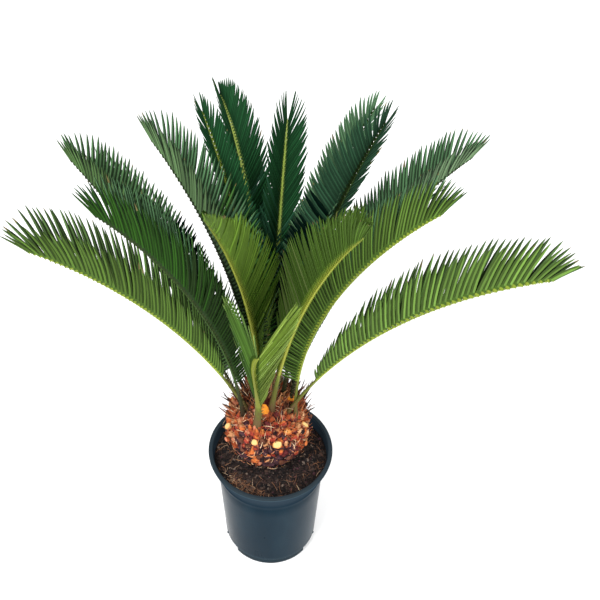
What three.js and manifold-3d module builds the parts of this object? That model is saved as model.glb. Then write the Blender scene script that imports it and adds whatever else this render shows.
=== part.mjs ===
// Potted sago palm (Cycas revoluta) in its round nursery pot.
// Units are millimetres, +Z is up. The origin is the centre of the pot's flat underside.
import * as THREE from 'three';
import * as BufferGeometryUtils from 'three/addons/utils/BufferGeometryUtils.js';
import Module from 'manifold-3d';

const wasm = await Module();
wasm.setup();

// ---------------------------------------------------------------- driving dimensions
const POT_HEIGHT = 187;
const POT_TOP_RADIUS = 81.3;      // over the rolled rim
const POT_RIM_WIDTH = 5.6;        // top of the rolled rim
const POT_BODY_FOOT_RADIUS = 62.3;  // body at its lower edge
const POT_BODY_FOOT_Z = 11.5;     // height of that edge over the floor
// the body widens in a curve under the rim: depth below the rim's top, radius
const POT_FLARE = [[40, 69.5], [32, 71.4], [24, 74.1], [16, 77.1], [8, 80.1]];
const POT_FOOT_RADIUS = 60.8;     // recessed foot
const POT_WALL = 2.2;
const POT_FLOOR = 3;              // thickness of the bottom plate
const FOOT_NOTCH_AZ = [-26, 90, 206];   // three notches in the foot, degrees
const FOOT_NOTCH_WIDTH = 32;
const FOOT_NOTCH_HEIGHT = 9;
const FOOT_NOTCH_DEPTH = 6;
const FOOT_INNER_RADIUS = 51;     // the foot is a thick ring inside this
const DRAIN_COUNT = 6;
const DRAIN_RADIUS = 4.5;
const DRAIN_RING = 38;

const GAP = 0.35;                 // clearance between solids that touch in life
const SOIL_EDGE_Z = 169;          // soil level at the pot's wall
const SOIL_TOP_Z = 179;           // soil level round the trunk

const TRUNK_X = -4;               // the trunk stands a little off the pot's axis
const TRUNK_Y = 10;
// swollen trunk: height above the soil, radius
const TRUNK_PROFILE = [[0, 31], [6, 39.5], [16, 47.5], [30, 54], [46, 56], [62, 53.5], [75, 47.5], [86, 38.5], [94, 27], [99, 14]];
const TRUNK_TOP = 101;
const TRUNK_RIBS = 13;            // shallow spiral swellings of old leaf bases
const TRUNK_RIB_DEPTH = 1.6;

const LEAF_START = 0.17;          // share of a frond that is bare stalk
const WING_THICKNESS = 2.0;       // thickness of the solid that stands for a row of leaflets
const STALK_RADIUS = 3.4;         // stalk at the trunk
const STALK_TIP_RADIUS = 1.4;     // midrib at the frond's end
const CURVE_STEPS = 80;
const WING_STATIONS = 10;
const TIP_FAN = 0.6;              // how far the last leaflets turn to run on in the frond's own direction
const STALK_ROOT = 30;            // how far a stalk runs on into the crown below its listed base

// One row for each frond, lengths in mm and angles in degrees:
// azimuth, arc length, elevation at base and tip, sideways bend, roll at base and tip, leaflet length,
// rise of the leaflet rows at base and tip, base radius, base height, leaflet angle to the midrib at base, middle, tip
const FRONDS = {
  frond_back_mid:         [  95.7,    428,   82.7,   -4.3,    9.4,    0.4,   14.5,     62,   59.3,   54.2,     24,    272,   60.0,   51.9,   18.5],
  frond_back_centre:      [  83.1,    360,   75.0,   54.3,   -1.4,    8.3,    9.2,     79,   51.3,   70.7,     22,    264,   60.0,   39.4,   49.7],
  frond_back_left:        [ 110.4,    390,   91.4,   42.3,    7.8,    0.5,   -6.3,     49,   61.5,   61.8,     28,    262,   60.0,   54.8,   38.3],
  frond_left_upper:       [ 138.8,    392,   95.0,   43.1,    3.6,   10.9,   23.6,     72,   72.3,   55.8,     27,    260,   60.0,   52.9,   29.2],
  frond_back_right:       [  38.9,    404,   86.4,   54.6,   -4.1,   -4.1,   24.4,     63,   48.3,   64.2,     25,    268,   60.0,   54.1,   46.4],
  frond_back_right_high:  [  53.2,    402,   87.3,   42.7,   -5.7,   -0.6,   11.4,     48,   56.6,   52.1,     20,    272,   60.0,   51.7,   45.6],
  frond_left_low:         [ 179.7,    374,   67.1,   39.1,   15.5,    5.7,    3.7,     88,   68.3,   65.8,     29,    278,   33.0,   41.7,   37.6],
  frond_left_mid:         [ 190.8,    405,   85.6,   51.7,    7.2,   33.7,  -17.4,     96,   48.7,   82.0,     31,    264,   43.8,   27.4,   29.8],
  frond_left_back:        [ 163.9,    410,   70.9,   57.1,    6.6,   13.9,    1.3,     69,   70.9,   63.3,     33,    263,   60.0,   60.9,   34.4],
  frond_right_back:       [  17.9,    424,   83.7,   40.6,   -8.9,   -1.4,  -20.6,     63,   63.9,   46.8,     29,    268,   60.0,   51.1,   40.4],
  frond_right_mid:        [  -5.4,    394,   92.6,   42.5,   -1.1,   -3.9,  -23.9,     78,   67.1,   82.0,     35,    263,   60.0,   37.1,   35.9],
  frond_right_low:        [  -9.5,    411,   66.7,   28.4,   -9.4,  -11.1,  -27.9,     76,   48.4,   79.5,     29,    277,   38.3,   47.2,   40.7],
  frond_front_right:      [ -56.9,    460,   80.7,   56.5,   -7.7,  -32.3,    7.6,     72,   82.0,   68.0,     10,    285,   59.6,   53.4,   16.8],
  frond_front_left:       [-135.0,    474,   93.7,   53.2,   36.1,   45.0,  -45.0,     96,   85.0,   24.5,     16,    270,   75.0,   19.6,   12.1],
  frond_front_centre:     [-108.0,    276,   80.0,   52.8,   30.1,   -8.3,  -13.1,    102,   38.3,   61.0,     28,    273,   22.0,   35.1,   50.0],
  frond_back_low_centre:  [  96.6,    363,   60.9,   21.3,    2.5,   -6.4,   -6.4,     68,   55.1,   52.0,     36,    252,   62.0,   52.0,   32.0],
  frond_back_low_left:    [ 130.3,    365,   51.9,   12.9,    4.7,    4.6,    4.6,     66,   57.6,   52.0,     36,    252,   62.0,   52.0,   32.0],
  frond_back_low_right:   [  47.8,    324,   69.9,    3.9,   -5.5,   -5.8,   -5.8,     71,   59.1,   52.0,     36,    252,   62.0,   52.0,   32.0],
};
const SHORTER_ROW = { frond_front_left: 0.5 };   // share of the length that the outer row keeps at the frond's end
const LEAF_LENGTH_AT = [[0, 0.35], [0.1, 0.62], [0.25, 0.86], [0.5, 1.0], [0.75, 0.97], [0.92, 0.82], [1, 0.5]];

// ---------------------------------------------------------------- small helpers
const rad = THREE.MathUtils.degToRad;
const along = (table, x) => {
  if (x <= table[0][0]) return table[0][1];
  for (let i = 1; i < table.length; i++) {
    if (x <= table[i][0]) {
      const [x0, y0] = table[i - 1], [x1, y1] = table[i];
      return y0 + (y1 - y0) * (x - x0) / (x1 - x0);
    }
  }
  return table[table.length - 1][1];
};

function toManifold(geometry) {
  const g = geometry.clone();
  for (const name of ['normal', 'uv']) if (g.getAttribute(name)) g.deleteAttribute(name);
  const m = BufferGeometryUtils.mergeVertices(g, 1e-4);
  return new wasm.Manifold(new wasm.Mesh({
    numProp: 3,
    vertProperties: new Float32Array(m.getAttribute('position').array),
    triVerts: new Uint32Array(m.getIndex().array),
  }));
}

function toGeometry(solid) {
  const mesh = solid.getMesh();
  const g = new THREE.BufferGeometry();
  const n = mesh.numProp;
  const pos = new Float32Array(mesh.vertProperties.length / n * 3);
  for (let i = 0, j = 0; i < mesh.vertProperties.length; i += n) {
    pos[j++] = mesh.vertProperties[i]; pos[j++] = mesh.vertProperties[i + 1]; pos[j++] = mesh.vertProperties[i + 2];
  }
  g.setAttribute('position', new THREE.BufferAttribute(pos, 3));
  g.setIndex(new THREE.BufferAttribute(new Uint32Array(mesh.triVerts), 1));
  return g;
}

// A solid of revolution about Z from [radius, z] points that start and end on the axis.
function turned(points, segments) {
  const g = new THREE.LatheGeometry(points.map(([r, z]) => new THREE.Vector2(r, z)), segments);
  g.rotateX(Math.PI / 2);
  const s = toManifold(g);
  return s.volume() < 0 ? toManifold(flip(g)) : s;
}

function flip(g) {
  const i = g.getIndex().array.slice();
  for (let k = 0; k < i.length; k += 3) [i[k], i[k + 1]] = [i[k + 1], i[k]];
  const f = g.clone(); f.setIndex(new THREE.BufferAttribute(i, 1)); return f;
}

const material = (color, roughness) => new THREE.MeshStandardMaterial({ color, roughness, metalness: 0 });

// ---------------------------------------------------------------- pot
function makePot() {
  const w = POT_WALL, H = POT_HEIGHT, R = POT_TOP_RADIUS;
  const innerTop = R - POT_RIM_WIDTH;
  let pot = turned([
    [0, 0], [POT_FOOT_RADIUS - 1, 0], [POT_FOOT_RADIUS, 1.2], [POT_FOOT_RADIUS, POT_BODY_FOOT_Z - 1.5],
    [POT_BODY_FOOT_RADIUS - 0.6, POT_BODY_FOOT_Z - 0.4], [POT_BODY_FOOT_RADIUS, POT_BODY_FOOT_Z + 1.6],
    ...POT_FLARE.map(([drop, r]) => [r, H - drop]),
    [R, H - 2.6], [R - 0.8, H - 0.8], [R - 2.2, H], [innerTop + 0.9, H], [innerTop, H - 1.2],
    ...POT_FLARE.slice(0, 4).reverse().map(([drop, r]) => [Math.min(r - w, innerTop - 0.3 - drop * 0.02), H - drop - 1]),
    [POT_BODY_FOOT_RADIUS - w, POT_BODY_FOOT_Z + 3], [FOOT_INNER_RADIUS, POT_BODY_FOOT_Z + 2],
    [FOOT_INNER_RADIUS, POT_FLOOR], [0, POT_FLOOR],
  ], 40);
  for (const az of FOOT_NOTCH_AZ) {
    const box = new THREE.BoxGeometry(FOOT_NOTCH_DEPTH * 2, FOOT_NOTCH_WIDTH, FOOT_NOTCH_HEIGHT + 4);
    box.translate(POT_FOOT_RADIUS, 0, FOOT_NOTCH_HEIGHT - (FOOT_NOTCH_HEIGHT + 4) / 2);
    box.rotateZ(rad(az));
    pot = pot.subtract(toManifold(box));
  }
  for (let i = 0; i < DRAIN_COUNT; i++) {
    const hole = new THREE.CylinderGeometry(DRAIN_RADIUS, DRAIN_RADIUS, POT_FLOOR * 4, 12);
    hole.rotateX(Math.PI / 2);
    const a = rad(30 + i * 360 / DRAIN_COUNT);
    hole.translate(DRAIN_RING * Math.cos(a), DRAIN_RING * Math.sin(a), 0);
    pot = pot.subtract(toManifold(hole));
  }
  return pot;
}

// ---------------------------------------------------------------- soil
function makeSoil(grow = 0) {
  const w = POT_WALL, low = POT_BODY_FOOT_Z + 3;
  const wall = POT_FLARE.slice(0, 3).map(([drop, r]) => [r - w - 0.8, POT_HEIGHT - drop - 1]);
  return turned([
    [0, POT_FLOOR + GAP], [FOOT_INNER_RADIUS - 0.8, POT_FLOOR + GAP], [FOOT_INNER_RADIUS - 0.8, low - 0.4],
    [POT_BODY_FOOT_RADIUS - w - 1.2, low + 1.2], ...wall, [wall[2][0] + 1.8, SOIL_EDGE_Z],
    [56, SOIL_EDGE_Z + 4], [41, SOIL_TOP_Z], [0, SOIL_TOP_Z],
  ], 32);
}

// ---------------------------------------------------------------- trunk
function makeTrunk(grow = 0) {
  const ringPoints = 30, base = SOIL_TOP_Z + GAP;
  const pos = [], idx = [];
  const rings = TRUNK_PROFILE.map(([z, r], k) => [z - (k === 0 ? grow : 0), r + grow]);
  for (const [z, r] of rings) {
    for (let i = 0; i < ringPoints; i++) {
      const a = 2 * Math.PI * i / ringPoints;
      const rib = TRUNK_RIB_DEPTH * Math.sin(TRUNK_RIBS * a + z * 0.14) * Math.min(1, z / 20);
      pos.push(TRUNK_X + (r + rib) * Math.cos(a), TRUNK_Y + (r + rib) * Math.sin(a), base + z);
    }
  }
  const n = rings.length;
  for (let k = 0; k + 1 < n; k++) for (let i = 0; i < ringPoints; i++) {
    const j = (i + 1) % ringPoints, a = k * ringPoints + i, b = k * ringPoints + j, c = a + ringPoints, d = b + ringPoints;
    idx.push(a, b, d, a, d, c);
  }
  pos.push(TRUNK_X, TRUNK_Y, base - grow); const lo = n * ringPoints;
  pos.push(TRUNK_X, TRUNK_Y, base + TRUNK_TOP + grow); const hi = lo + 1;
  for (let i = 0; i < ringPoints; i++) {
    const j = (i + 1) % ringPoints;
    idx.push(lo, j, i, hi, (n - 1) * ringPoints + i, (n - 1) * ringPoints + j);
  }
  const g = new THREE.BufferGeometry();
  g.setAttribute('position', new THREE.Float32BufferAttribute(pos, 3));
  g.setIndex(idx);
  return toManifold(g);
}

// ---------------------------------------------------------------- fronds
// The midrib: elevation and azimuth change evenly along its length; past either end it runs on straight.
function midrib(row) {
  const [az0, length, e0, e1, bend, roll0, roll1, , , , baseR, baseZ] = row;
  const pts = [], T = [], S = [], N = [];
  const p = new THREE.Vector3(TRUNK_X + 0.5 + baseR * Math.cos(rad(az0)), baseR * Math.sin(rad(az0)), baseZ);
  const ds = length / (CURVE_STEPS - 1);
  let prev = null;
  for (let i = 0; i < CURVE_STEPS; i++) {
    const t = i / (CURVE_STEPS - 1);
    const az = rad(az0 + bend * t), el = rad(e0 + (e1 - e0) * t);
    const tan = new THREE.Vector3(Math.cos(el) * Math.cos(az), Math.cos(el) * Math.sin(az), Math.sin(el));
    if (prev) p.addScaledVector(tan.clone().add(prev).multiplyScalar(0.5), ds);
    const side = new THREE.Vector3(-Math.sin(az), Math.cos(az), 0);
    const up = tan.clone().cross(side);
    const roll = rad(THREE.MathUtils.lerp(roll0, roll1, t));
    side.applyAxisAngle(tan, roll); up.applyAxisAngle(tan, roll);
    pts.push(p.clone()); T.push(tan); S.push(side); N.push(up);
    prev = tan;
  }
  const pick = (list, t) => {
    const x = Math.min(Math.max(t, 0), 1) * (CURVE_STEPS - 1), i = Math.min(Math.floor(x), CURVE_STEPS - 2);
    return list[i].clone().lerp(list[i + 1], x - i);
  };
  return (t) => {
    const p = pick(pts, t);
    if (t < 0) p.addScaledVector(T[0], t * length);
    if (t > 1) p.addScaledVector(T[CURVE_STEPS - 1], (t - 1) * length);
    return { p, t: pick(T, t).normalize(), s: pick(S, t).normalize(), n: pick(N, t).normalize() };
  };
}

// Six-point rings along a frond: a round stalk that opens into two rising wings, one for each row of leaflets.
function frondRings(row, grow = 0) {
  const [, length, , , , , , leaf, rise0, rise1, , , g0, g1, g2, shorter = 1] = row;
  const at = midrib(row);
  const rings = [];
  const radius = (t) => THREE.MathUtils.lerp(STALK_RADIUS, STALK_TIP_RADIUS, t) + grow;
  const back = 1.5 * grow / length;
  for (const t of [-STALK_ROOT / length, 0, LEAF_START * 0.5, LEAF_START - 0.01 - back]) {
    const f = at(t), r = radius(t), ring = [];
    for (const a of [-90, -30, 30, 90, 150, 210]) {
      ring.push(f.p.clone().addScaledVector(f.s, r * Math.cos(rad(a))).addScaledVector(f.n, r * Math.sin(rad(a))));
    }
    rings.push(ring);
  }
  for (let k = 0; k <= WING_STATIONS; k++) {
    const w = k / WING_STATIONS, t = LEAF_START + (1 - LEAF_START) * w;
    const f = at(k === 0 ? t - back : k === WING_STATIONS ? t + back : t), r = radius(t);
    const fan = 1 - TIP_FAN * Math.max(0, (w - 0.9) / 0.1);
    const g = rad((w < 0.5 ? THREE.MathUtils.lerp(g0, g1, w * 2) : THREE.MathUtils.lerp(g1, g2, w * 2 - 1)) * fan);
    const rise = rad(THREE.MathUtils.lerp(rise0, rise1, w)), sinV = Math.sin(rise), cosV = Math.cos(rise);
    const h = WING_THICKNESS / 2 + grow;
    const wing = (sign) => {
      const len = leaf * along(LEAF_LENGTH_AT, w) * (sign > 0 ? 1 : THREE.MathUtils.lerp(1, shorter, w)) + grow;
      const d = f.t.clone().multiplyScalar(Math.cos(g))
        .addScaledVector(f.s, sign * cosV * Math.sin(g)).addScaledVector(f.n, sinV * Math.sin(g));
      const face = f.n.clone().multiplyScalar(cosV).addScaledVector(f.s, -sign * sinV);
      const tip = f.p.clone().addScaledVector(d, len);
      return [tip.clone().addScaledVector(face, -h), tip.clone().addScaledVector(face, h)];
    };
    const [rOut, rIn] = wing(1), [lOut, lIn] = wing(-1);
    rings.push([
      f.p.clone().addScaledVector(f.n, -(r + 0.4)), rOut, rIn,
      f.p.clone().addScaledVector(f.n, r * 0.55 + 0.5 + grow * 0.45), lIn, lOut,
    ]);
  }
  return rings;
}

function makeFrond(row) {
  const rings = frondRings(row);
  const pos = [], idx = [], m = 6;
  for (const ring of rings) for (const v of ring) pos.push(v.x, v.y, v.z);
  for (let k = 0; k + 1 < rings.length; k++) for (let i = 0; i < m; i++) {
    const j = (i + 1) % m, a = k * m + i, b = k * m + j, c = a + m, d = b + m;
    if (i === 0 || i === 3 || i === 4 || i === 1) idx.push(a, b, d, a, d, c);
    else idx.push(a, b, c, b, d, c);
  }
  const cap = (ring, out) => {
    const o = ring * m, tris = [[0, 1, 2], [0, 2, 3], [0, 3, 4], [0, 4, 5]];
    for (const [a, b, c] of tris) out ? idx.push(o + a, o + b, o + c) : idx.push(o + a, o + c, o + b);
  };
  cap(0, false); cap(rings.length - 1, true);
  const geo = new THREE.BufferGeometry();
  geo.setAttribute('position', new THREE.Float32BufferAttribute(pos, 3));
  geo.setIndex(idx);
  const solid = toManifold(geo);
  return solid.volume() < 0 ? toManifold(flip(geo)) : solid;
}

// The space a frond needs, with the clearance added: a chain of hulls, one for each wing between two rings.
function frondRoom(row) {
  const rings = frondRings(row, GAP);
  const parts = [];
  for (let k = 0; k + 1 < rings.length; k++) {
    for (const half of [[0, 1, 2, 3], [3, 4, 5, 0]]) {
      parts.push(wasm.Manifold.hull([rings[k], rings[k + 1]].flatMap((ring) => half.map((i) => ring[i].toArray()))));
    }
  }
  return wasm.Manifold.union(parts);
}

// ---------------------------------------------------------------- assembly
const group = new THREE.Group();
const add = (name, solid, mat) => {
  const mesh = new THREE.Mesh(toGeometry(solid), mat);
  mesh.name = name;
  group.add(mesh);
};

add('pot', makePot(), material(0x39495a, 0.42));
add('soil', makeSoil(), material(0x2a1c14, 0.95));
add('trunk', makeTrunk(), material(0x9a4a22, 0.85));

// Where two fronds meet, the later one is cut back round the earlier one; each keeps its largest piece.
const largest = (solid) => solid.decompose().sort((a, b) => b.volume() - a.volume())[0];
const trunkRoom = makeTrunk(GAP);
const placed = [];
for (const [name, sizes] of Object.entries(FRONDS)) {
  const row = [...sizes, SHORTER_ROW[name] ?? 1];
  let solid = makeFrond(row).subtract(trunkRoom);
  for (const other of placed) {
    if (!solid.intersect(other.room).isEmpty()) solid = solid.subtract(other.room);
  }
  solid = largest(solid);
  placed.push({ name, room: frondRoom(row) });
  add(name, solid, material(0x2f5a33, 0.5));
}

export default group;
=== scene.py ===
"""Potted sago palm: the looks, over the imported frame. Metres, +Z up, origin at the centre of the pot's underside."""
import bpy
import math
import numpy as np
from mathutils import Vector, Matrix, noise


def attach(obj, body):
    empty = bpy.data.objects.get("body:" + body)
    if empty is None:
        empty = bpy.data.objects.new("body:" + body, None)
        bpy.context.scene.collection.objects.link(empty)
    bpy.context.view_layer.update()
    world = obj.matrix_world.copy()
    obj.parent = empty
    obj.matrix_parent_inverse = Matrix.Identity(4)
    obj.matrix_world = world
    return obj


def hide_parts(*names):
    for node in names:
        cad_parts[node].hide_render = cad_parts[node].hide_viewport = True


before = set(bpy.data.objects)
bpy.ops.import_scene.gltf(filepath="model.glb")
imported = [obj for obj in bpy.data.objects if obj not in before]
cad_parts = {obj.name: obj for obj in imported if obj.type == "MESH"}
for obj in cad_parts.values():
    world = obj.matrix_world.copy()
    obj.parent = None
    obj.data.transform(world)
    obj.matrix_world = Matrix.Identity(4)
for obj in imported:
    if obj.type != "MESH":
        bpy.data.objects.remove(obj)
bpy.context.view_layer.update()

MM = 0.001
rng = np.random.default_rng(20)

# ------------------------------------------------------------------ the same driving sizes as the solids (mm, degrees)
POT_HEIGHT, POT_TOP_RADIUS, POT_RIM_WIDTH = 187.0, 81.3, 5.6
POT_BODY_FOOT_RADIUS, POT_BODY_FOOT_Z = 62.3, 11.5
POT_FLARE = [(40, 69.5), (32, 71.4), (24, 74.1), (16, 77.1), (8, 80.1)]
POT_FOOT_RADIUS, POT_FOOT_INNER, POT_WALL = 60.8, 51.0, 2.2
FOOT_NOTCH_AZ = (-26.0, 90.0, 206.0)
SOIL_EDGE_Z, SOIL_TOP_Z = 169.0, 179.0
TRUNK_X, TRUNK_Y = -4.0, 10.0
TRUNK_PROFILE = [(0, 31), (6, 39.5), (16, 47.5), (30, 54), (46, 56), (62, 53.5), (75, 47.5), (86, 38.5), (94, 27), (99, 14)]
LEAF_START = 0.17
STALK_ROOT = 30.0
CURVE_STEPS = 80
FRONDS = {
    "frond_back_mid":         (95.7, 428, 82.7, -4.3, 9.4, 0.4, 14.5, 62, 59.3, 54.2, 24, 272, 60.0, 51.9, 18.5),
    "frond_back_centre":      (83.1, 360, 75.0, 54.3, -1.4, 8.3, 9.2, 79, 51.3, 70.7, 22, 264, 60.0, 39.4, 49.7),
    "frond_back_left":        (110.4, 390, 91.4, 42.3, 7.8, 0.5, -6.3, 49, 61.5, 61.8, 28, 262, 60.0, 54.8, 38.3),
    "frond_left_upper":       (138.8, 392, 95.0, 43.1, 3.6, 10.9, 23.6, 72, 72.3, 55.8, 27, 260, 60.0, 52.9, 29.2),
    "frond_back_right":       (38.9, 404, 86.4, 54.6, -4.1, -4.1, 24.4, 63, 48.3, 64.2, 25, 268, 60.0, 54.1, 46.4),
    "frond_back_right_high":  (53.2, 402, 87.3, 42.7, -5.7, -0.6, 11.4, 48, 56.6, 52.1, 20, 272, 60.0, 51.7, 45.6),
    "frond_left_low":         (179.7, 374, 67.1, 39.1, 15.5, 5.7, 3.7, 88, 68.3, 65.8, 29, 278, 33.0, 41.7, 37.6),
    "frond_left_mid":         (190.8, 405, 85.6, 51.7, 7.2, 33.7, -17.4, 96, 48.7, 82.0, 31, 264, 43.8, 27.4, 29.8),
    "frond_left_back":        (163.9, 410, 70.9, 57.1, 6.6, 13.9, 1.3, 69, 70.9, 63.3, 33, 263, 60.0, 60.9, 34.4),
    "frond_right_back":       (17.9, 424, 83.7, 40.6, -8.9, -1.4, -20.6, 63, 63.9, 46.8, 29, 268, 60.0, 51.1, 40.4),
    "frond_right_mid":        (-5.4, 394, 92.6, 42.5, -1.1, -3.9, -23.9, 78, 67.1, 82.0, 35, 263, 60.0, 37.1, 35.9),
    "frond_right_low":        (-9.5, 411, 66.7, 28.4, -9.4, -11.1, -27.9, 76, 48.4, 79.5, 29, 277, 38.3, 47.2, 40.7),
    "frond_front_right":      (-56.9, 460, 80.7, 56.5, -7.7, -32.3, 7.6, 72, 82.0, 68.0, 10, 285, 59.6, 53.4, 16.8),
    "frond_front_left":       (-135.0, 474, 93.7, 53.2, 36.1, 45.0, -45.0, 96, 85.0, 24.5, 16, 270, 75.0, 19.6, 12.1),
    "frond_front_centre":     (-108.0, 276, 80.0, 52.8, 30.1, -8.3, -13.1, 102, 38.3, 61.0, 28, 273, 22.0, 35.1, 50.0),
    "frond_back_low_centre":  (96.6, 363, 60.9, 21.3, 2.5, -6.4, -6.4, 68, 55.1, 52.0, 36, 252, 62.0, 52.0, 32.0),
    "frond_back_low_left":    (130.3, 365, 51.9, 12.9, 4.7, 4.6, 4.6, 66, 57.6, 52.0, 36, 252, 62.0, 52.0, 32.0),
    "frond_back_low_right":   (47.8, 324, 69.9, 3.9, -5.5, -5.8, -5.8, 71, 59.1, 52.0, 36, 252, 62.0, 52.0, 32.0),
}
LEAF_LENGTH_AT = ([0, 0.1, 0.25, 0.5, 0.75, 0.92, 1], [0.35, 0.62, 0.86, 1.0, 0.97, 0.82, 0.5])
TIP_FAN = 0.6

SHORTER_ROW = {"frond_front_left": 0.5}
LONGER_AT = {"frond_front_left": ([0, 0.38, 0.5, 0.68, 0.71, 1], [0.95, 0.97, 1.08, 1.17, 0.93, 0.9])}
STALK_WIDE = {"frond_front_centre": ([-0.05, 0.0, 0.05, 0.12, 0.2, 0.3, 0.4], [1.2, 1.25, 1.5, 1.9, 1.9, 1.3, 1.0])}
STALK_SHIFT = {"frond_front_centre": (-4.5, 0.0, 0.0)}

# greens of each frond (upper face near its base and near its end, then the lower face), kind of midrib, how brown its leaflet tips are,
# leaflet spacing at base, middle and tip (mm), leaflet width to spacing
TONES = {
    "frond_back_mid": (("pine", "pine_light", "fern", "fern"), "light", 0.5, (5.0, 4.9, 4.8), 1.5),
    "frond_back_centre": (("pine", "pine_light", "fern", "fern"), "light", 0.3, (4.8, 4.7, 4.6), 1.5),
    "frond_back_left": (("pine", "pine_light", "fern", "fern"), "bright", 0.5, (5.0, 5.0, 5.0), 1.4),
    "frond_left_upper": (("moss", "moss_light", "fern", "fern"), "dim", 0.6, (5.0, 5.1, 5.2), 1.15),
    "frond_back_right": (("night", "night_light", "dusk", "dusk"), "dim", 0.6, (5.0, 5.0, 5.0), 1.45),
    "frond_back_right_high": (("haze_low", "haze", "fern", "fern_light"), "dim", 0.6, (5.0, 5.0, 5.0), 1.4),
    "frond_left_low": (("sage_dark", "sage", "olive", "olive"), "bright", 0.9, (5.2, 5.6, 6.6), 0.98),
    "frond_left_mid": (("moss", "moss_light", "olive_dark", "olive_deep"), "dim", 0.7, (5.0, 5.2, 5.4), 1.05),
    "frond_left_back": (("night", "sea", "dusk", "dusk"), "dim", 0.7, (5.0, 5.0, 5.0), 1.15),
    "frond_right_back": (("moss", "moss_light", "fern", "fern_light"), "dim", 0.8, (5.0, 4.9, 4.9), 1.12),
    "frond_right_mid": (("moss", "moss_light", "olive", "olive"), "bright", 0.8, (5.0, 5.0, 5.2), 1.05),
    "frond_right_low": (("sage_dark", "sage", "olive_light", "olive_light"), "bright", 1.0, (6.0, 6.8, 7.3), 0.9),
    "frond_front_right": (("face", "face", "face_low", "face"), "warm", 0.8, (4.8, 4.7, 4.8), 1.15),
    "frond_front_left": (("fern", "leaf", "leaf_low", "leaf_mid"), "warm", 0.5, (4.8, 4.8, 4.8), 1.25),
    "frond_front_centre": (("face", "fresh_in", "fresh", "fresh_tip"), "gold", 0.3, (5.0, 5.0, 5.2), 1.15),
    "frond_back_low_centre": (("pine", "pine_light", "fern", "fern"), "dim", 0.6, (5.2, 5.4, 5.6), 1.0),
    "frond_back_low_left": (("pine", "moss_light", "fern", "fern"), "dim", 0.6, (5.2, 5.4, 5.6), 0.95),
    "frond_back_low_right": (("pine", "pine_light", "fern", "fern"), "dim", 0.6, (5.2, 5.4, 5.6), 0.95),
}
ROW_TONES = {("frond_front_centre", -1): ("cool", "cool_tip", "fresh", "fresh_tip")}
# where along a row its greens change over, if not at the middle
SPLIT_AT = {("frond_front_left", 1): 0.2, ("frond_front_left", -1): 0.2, ("frond_front_centre", 1): 0.25, ("frond_front_centre", -1): 0.45}
# a frond whose one row (+1 or -1) is fuller than the other, and by how much
FULLER_ROW = {"frond_left_back": (-1, 1.15), "frond_left_low": (-1, 1.12), "frond_left_upper": (-1, 1.12), "frond_right_back": (1, 1.15), "frond_right_low": (1, 1.12)}


# ------------------------------------------------------------------ materials
def lin(r, g, b):
    """A linear colour from 0-255 sRGB numbers."""
    out = []
    for c in (r, g, b):
        c /= 255.0
        out.append(c / 12.92 if c <= 0.04045 else ((c + 0.055) / 1.055) ** 2.4)
    return (*out, 1.0)


def base_material(name, colour, rough, spec=0.5):
    m = bpy.data.materials.new(name)
    m.use_nodes = True
    nt = m.node_tree
    b = nt.nodes["Principled BSDF"]
    b.inputs["Base Color"].default_value = colour
    b.inputs["Roughness"].default_value = rough
    b.inputs["Specular IOR Level"].default_value = spec
    return m, nt, b


def add_bump(nt, b, scale, strength, distance, detail=3.0, stretch=(1, 1, 1), kind="noise"):
    tc = nt.nodes.new("ShaderNodeTexCoord")
    mp = nt.nodes.new("ShaderNodeMapping")
    mp.inputs["Scale"].default_value = stretch
    nt.links.new(tc.outputs["Object"], mp.inputs["Vector"])
    if kind == "voronoi":
        tx = nt.nodes.new("ShaderNodeTexVoronoi")
        tx.inputs["Scale"].default_value = scale
        out = tx.outputs["Distance"]
    else:
        tx = nt.nodes.new("ShaderNodeTexNoise")
        tx.inputs["Scale"].default_value = scale
        tx.inputs["Detail"].default_value = detail
        out = tx.outputs["Fac"]
    nt.links.new(mp.outputs["Vector"], tx.inputs["Vector"])
    bump = nt.nodes.new("ShaderNodeBump")
    bump.inputs["Strength"].default_value = strength
    bump.inputs["Distance"].default_value = distance
    nt.links.new(out, bump.inputs["Height"])
    nt.links.new(bump.outputs["Normal"], b.inputs["Normal"])
    return bump


def plain(name, rgb, rough=0.6, spec=0.4, bump=(900, 0.25, 0.0006)):
    """One dealt-out colour: its base colour is plain, its fine relief comes from nodes."""
    m, nt, b = base_material(name, lin(*rgb), rough, spec)
    add_bump(nt, b, *bump)
    return m


def ramp_material(name, stops, scale, rough, spec=0.5, detail=6.0, stretch=(1, 1, 1), bump=(300, 0.4, 0.002), rough_range=None):
    """Colour from a noise through a ramp, for whole pieces such as the pot."""
    m, nt, b = base_material(name, stops[0][1], rough, spec)
    tc = nt.nodes.new("ShaderNodeTexCoord")
    mp = nt.nodes.new("ShaderNodeMapping")
    mp.inputs["Scale"].default_value = stretch
    nt.links.new(tc.outputs["Object"], mp.inputs["Vector"])
    tx = nt.nodes.new("ShaderNodeTexNoise")
    tx.inputs["Scale"].default_value = scale
    tx.inputs["Detail"].default_value = detail
    nt.links.new(mp.outputs["Vector"], tx.inputs["Vector"])
    cr = nt.nodes.new("ShaderNodeValToRGB")
    while len(cr.color_ramp.elements) < len(stops):
        cr.color_ramp.elements.new(0.5)
    for e, (p, c) in zip(cr.color_ramp.elements, stops):
        e.position, e.color = p, c
    nt.links.new(tx.outputs["Fac"], cr.inputs["Fac"])
    nt.links.new(cr.outputs["Color"], b.inputs["Base Color"])
    if rough_range:
        mr = nt.nodes.new("ShaderNodeMapRange")
        mr.inputs["To Min"].default_value, mr.inputs["To Max"].default_value = rough_range
        nt.links.new(tx.outputs["Fac"], mr.inputs["Value"])
        nt.links.new(mr.outputs["Result"], b.inputs["Roughness"])
    add_bump(nt, b, *bump)
    return m


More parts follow.
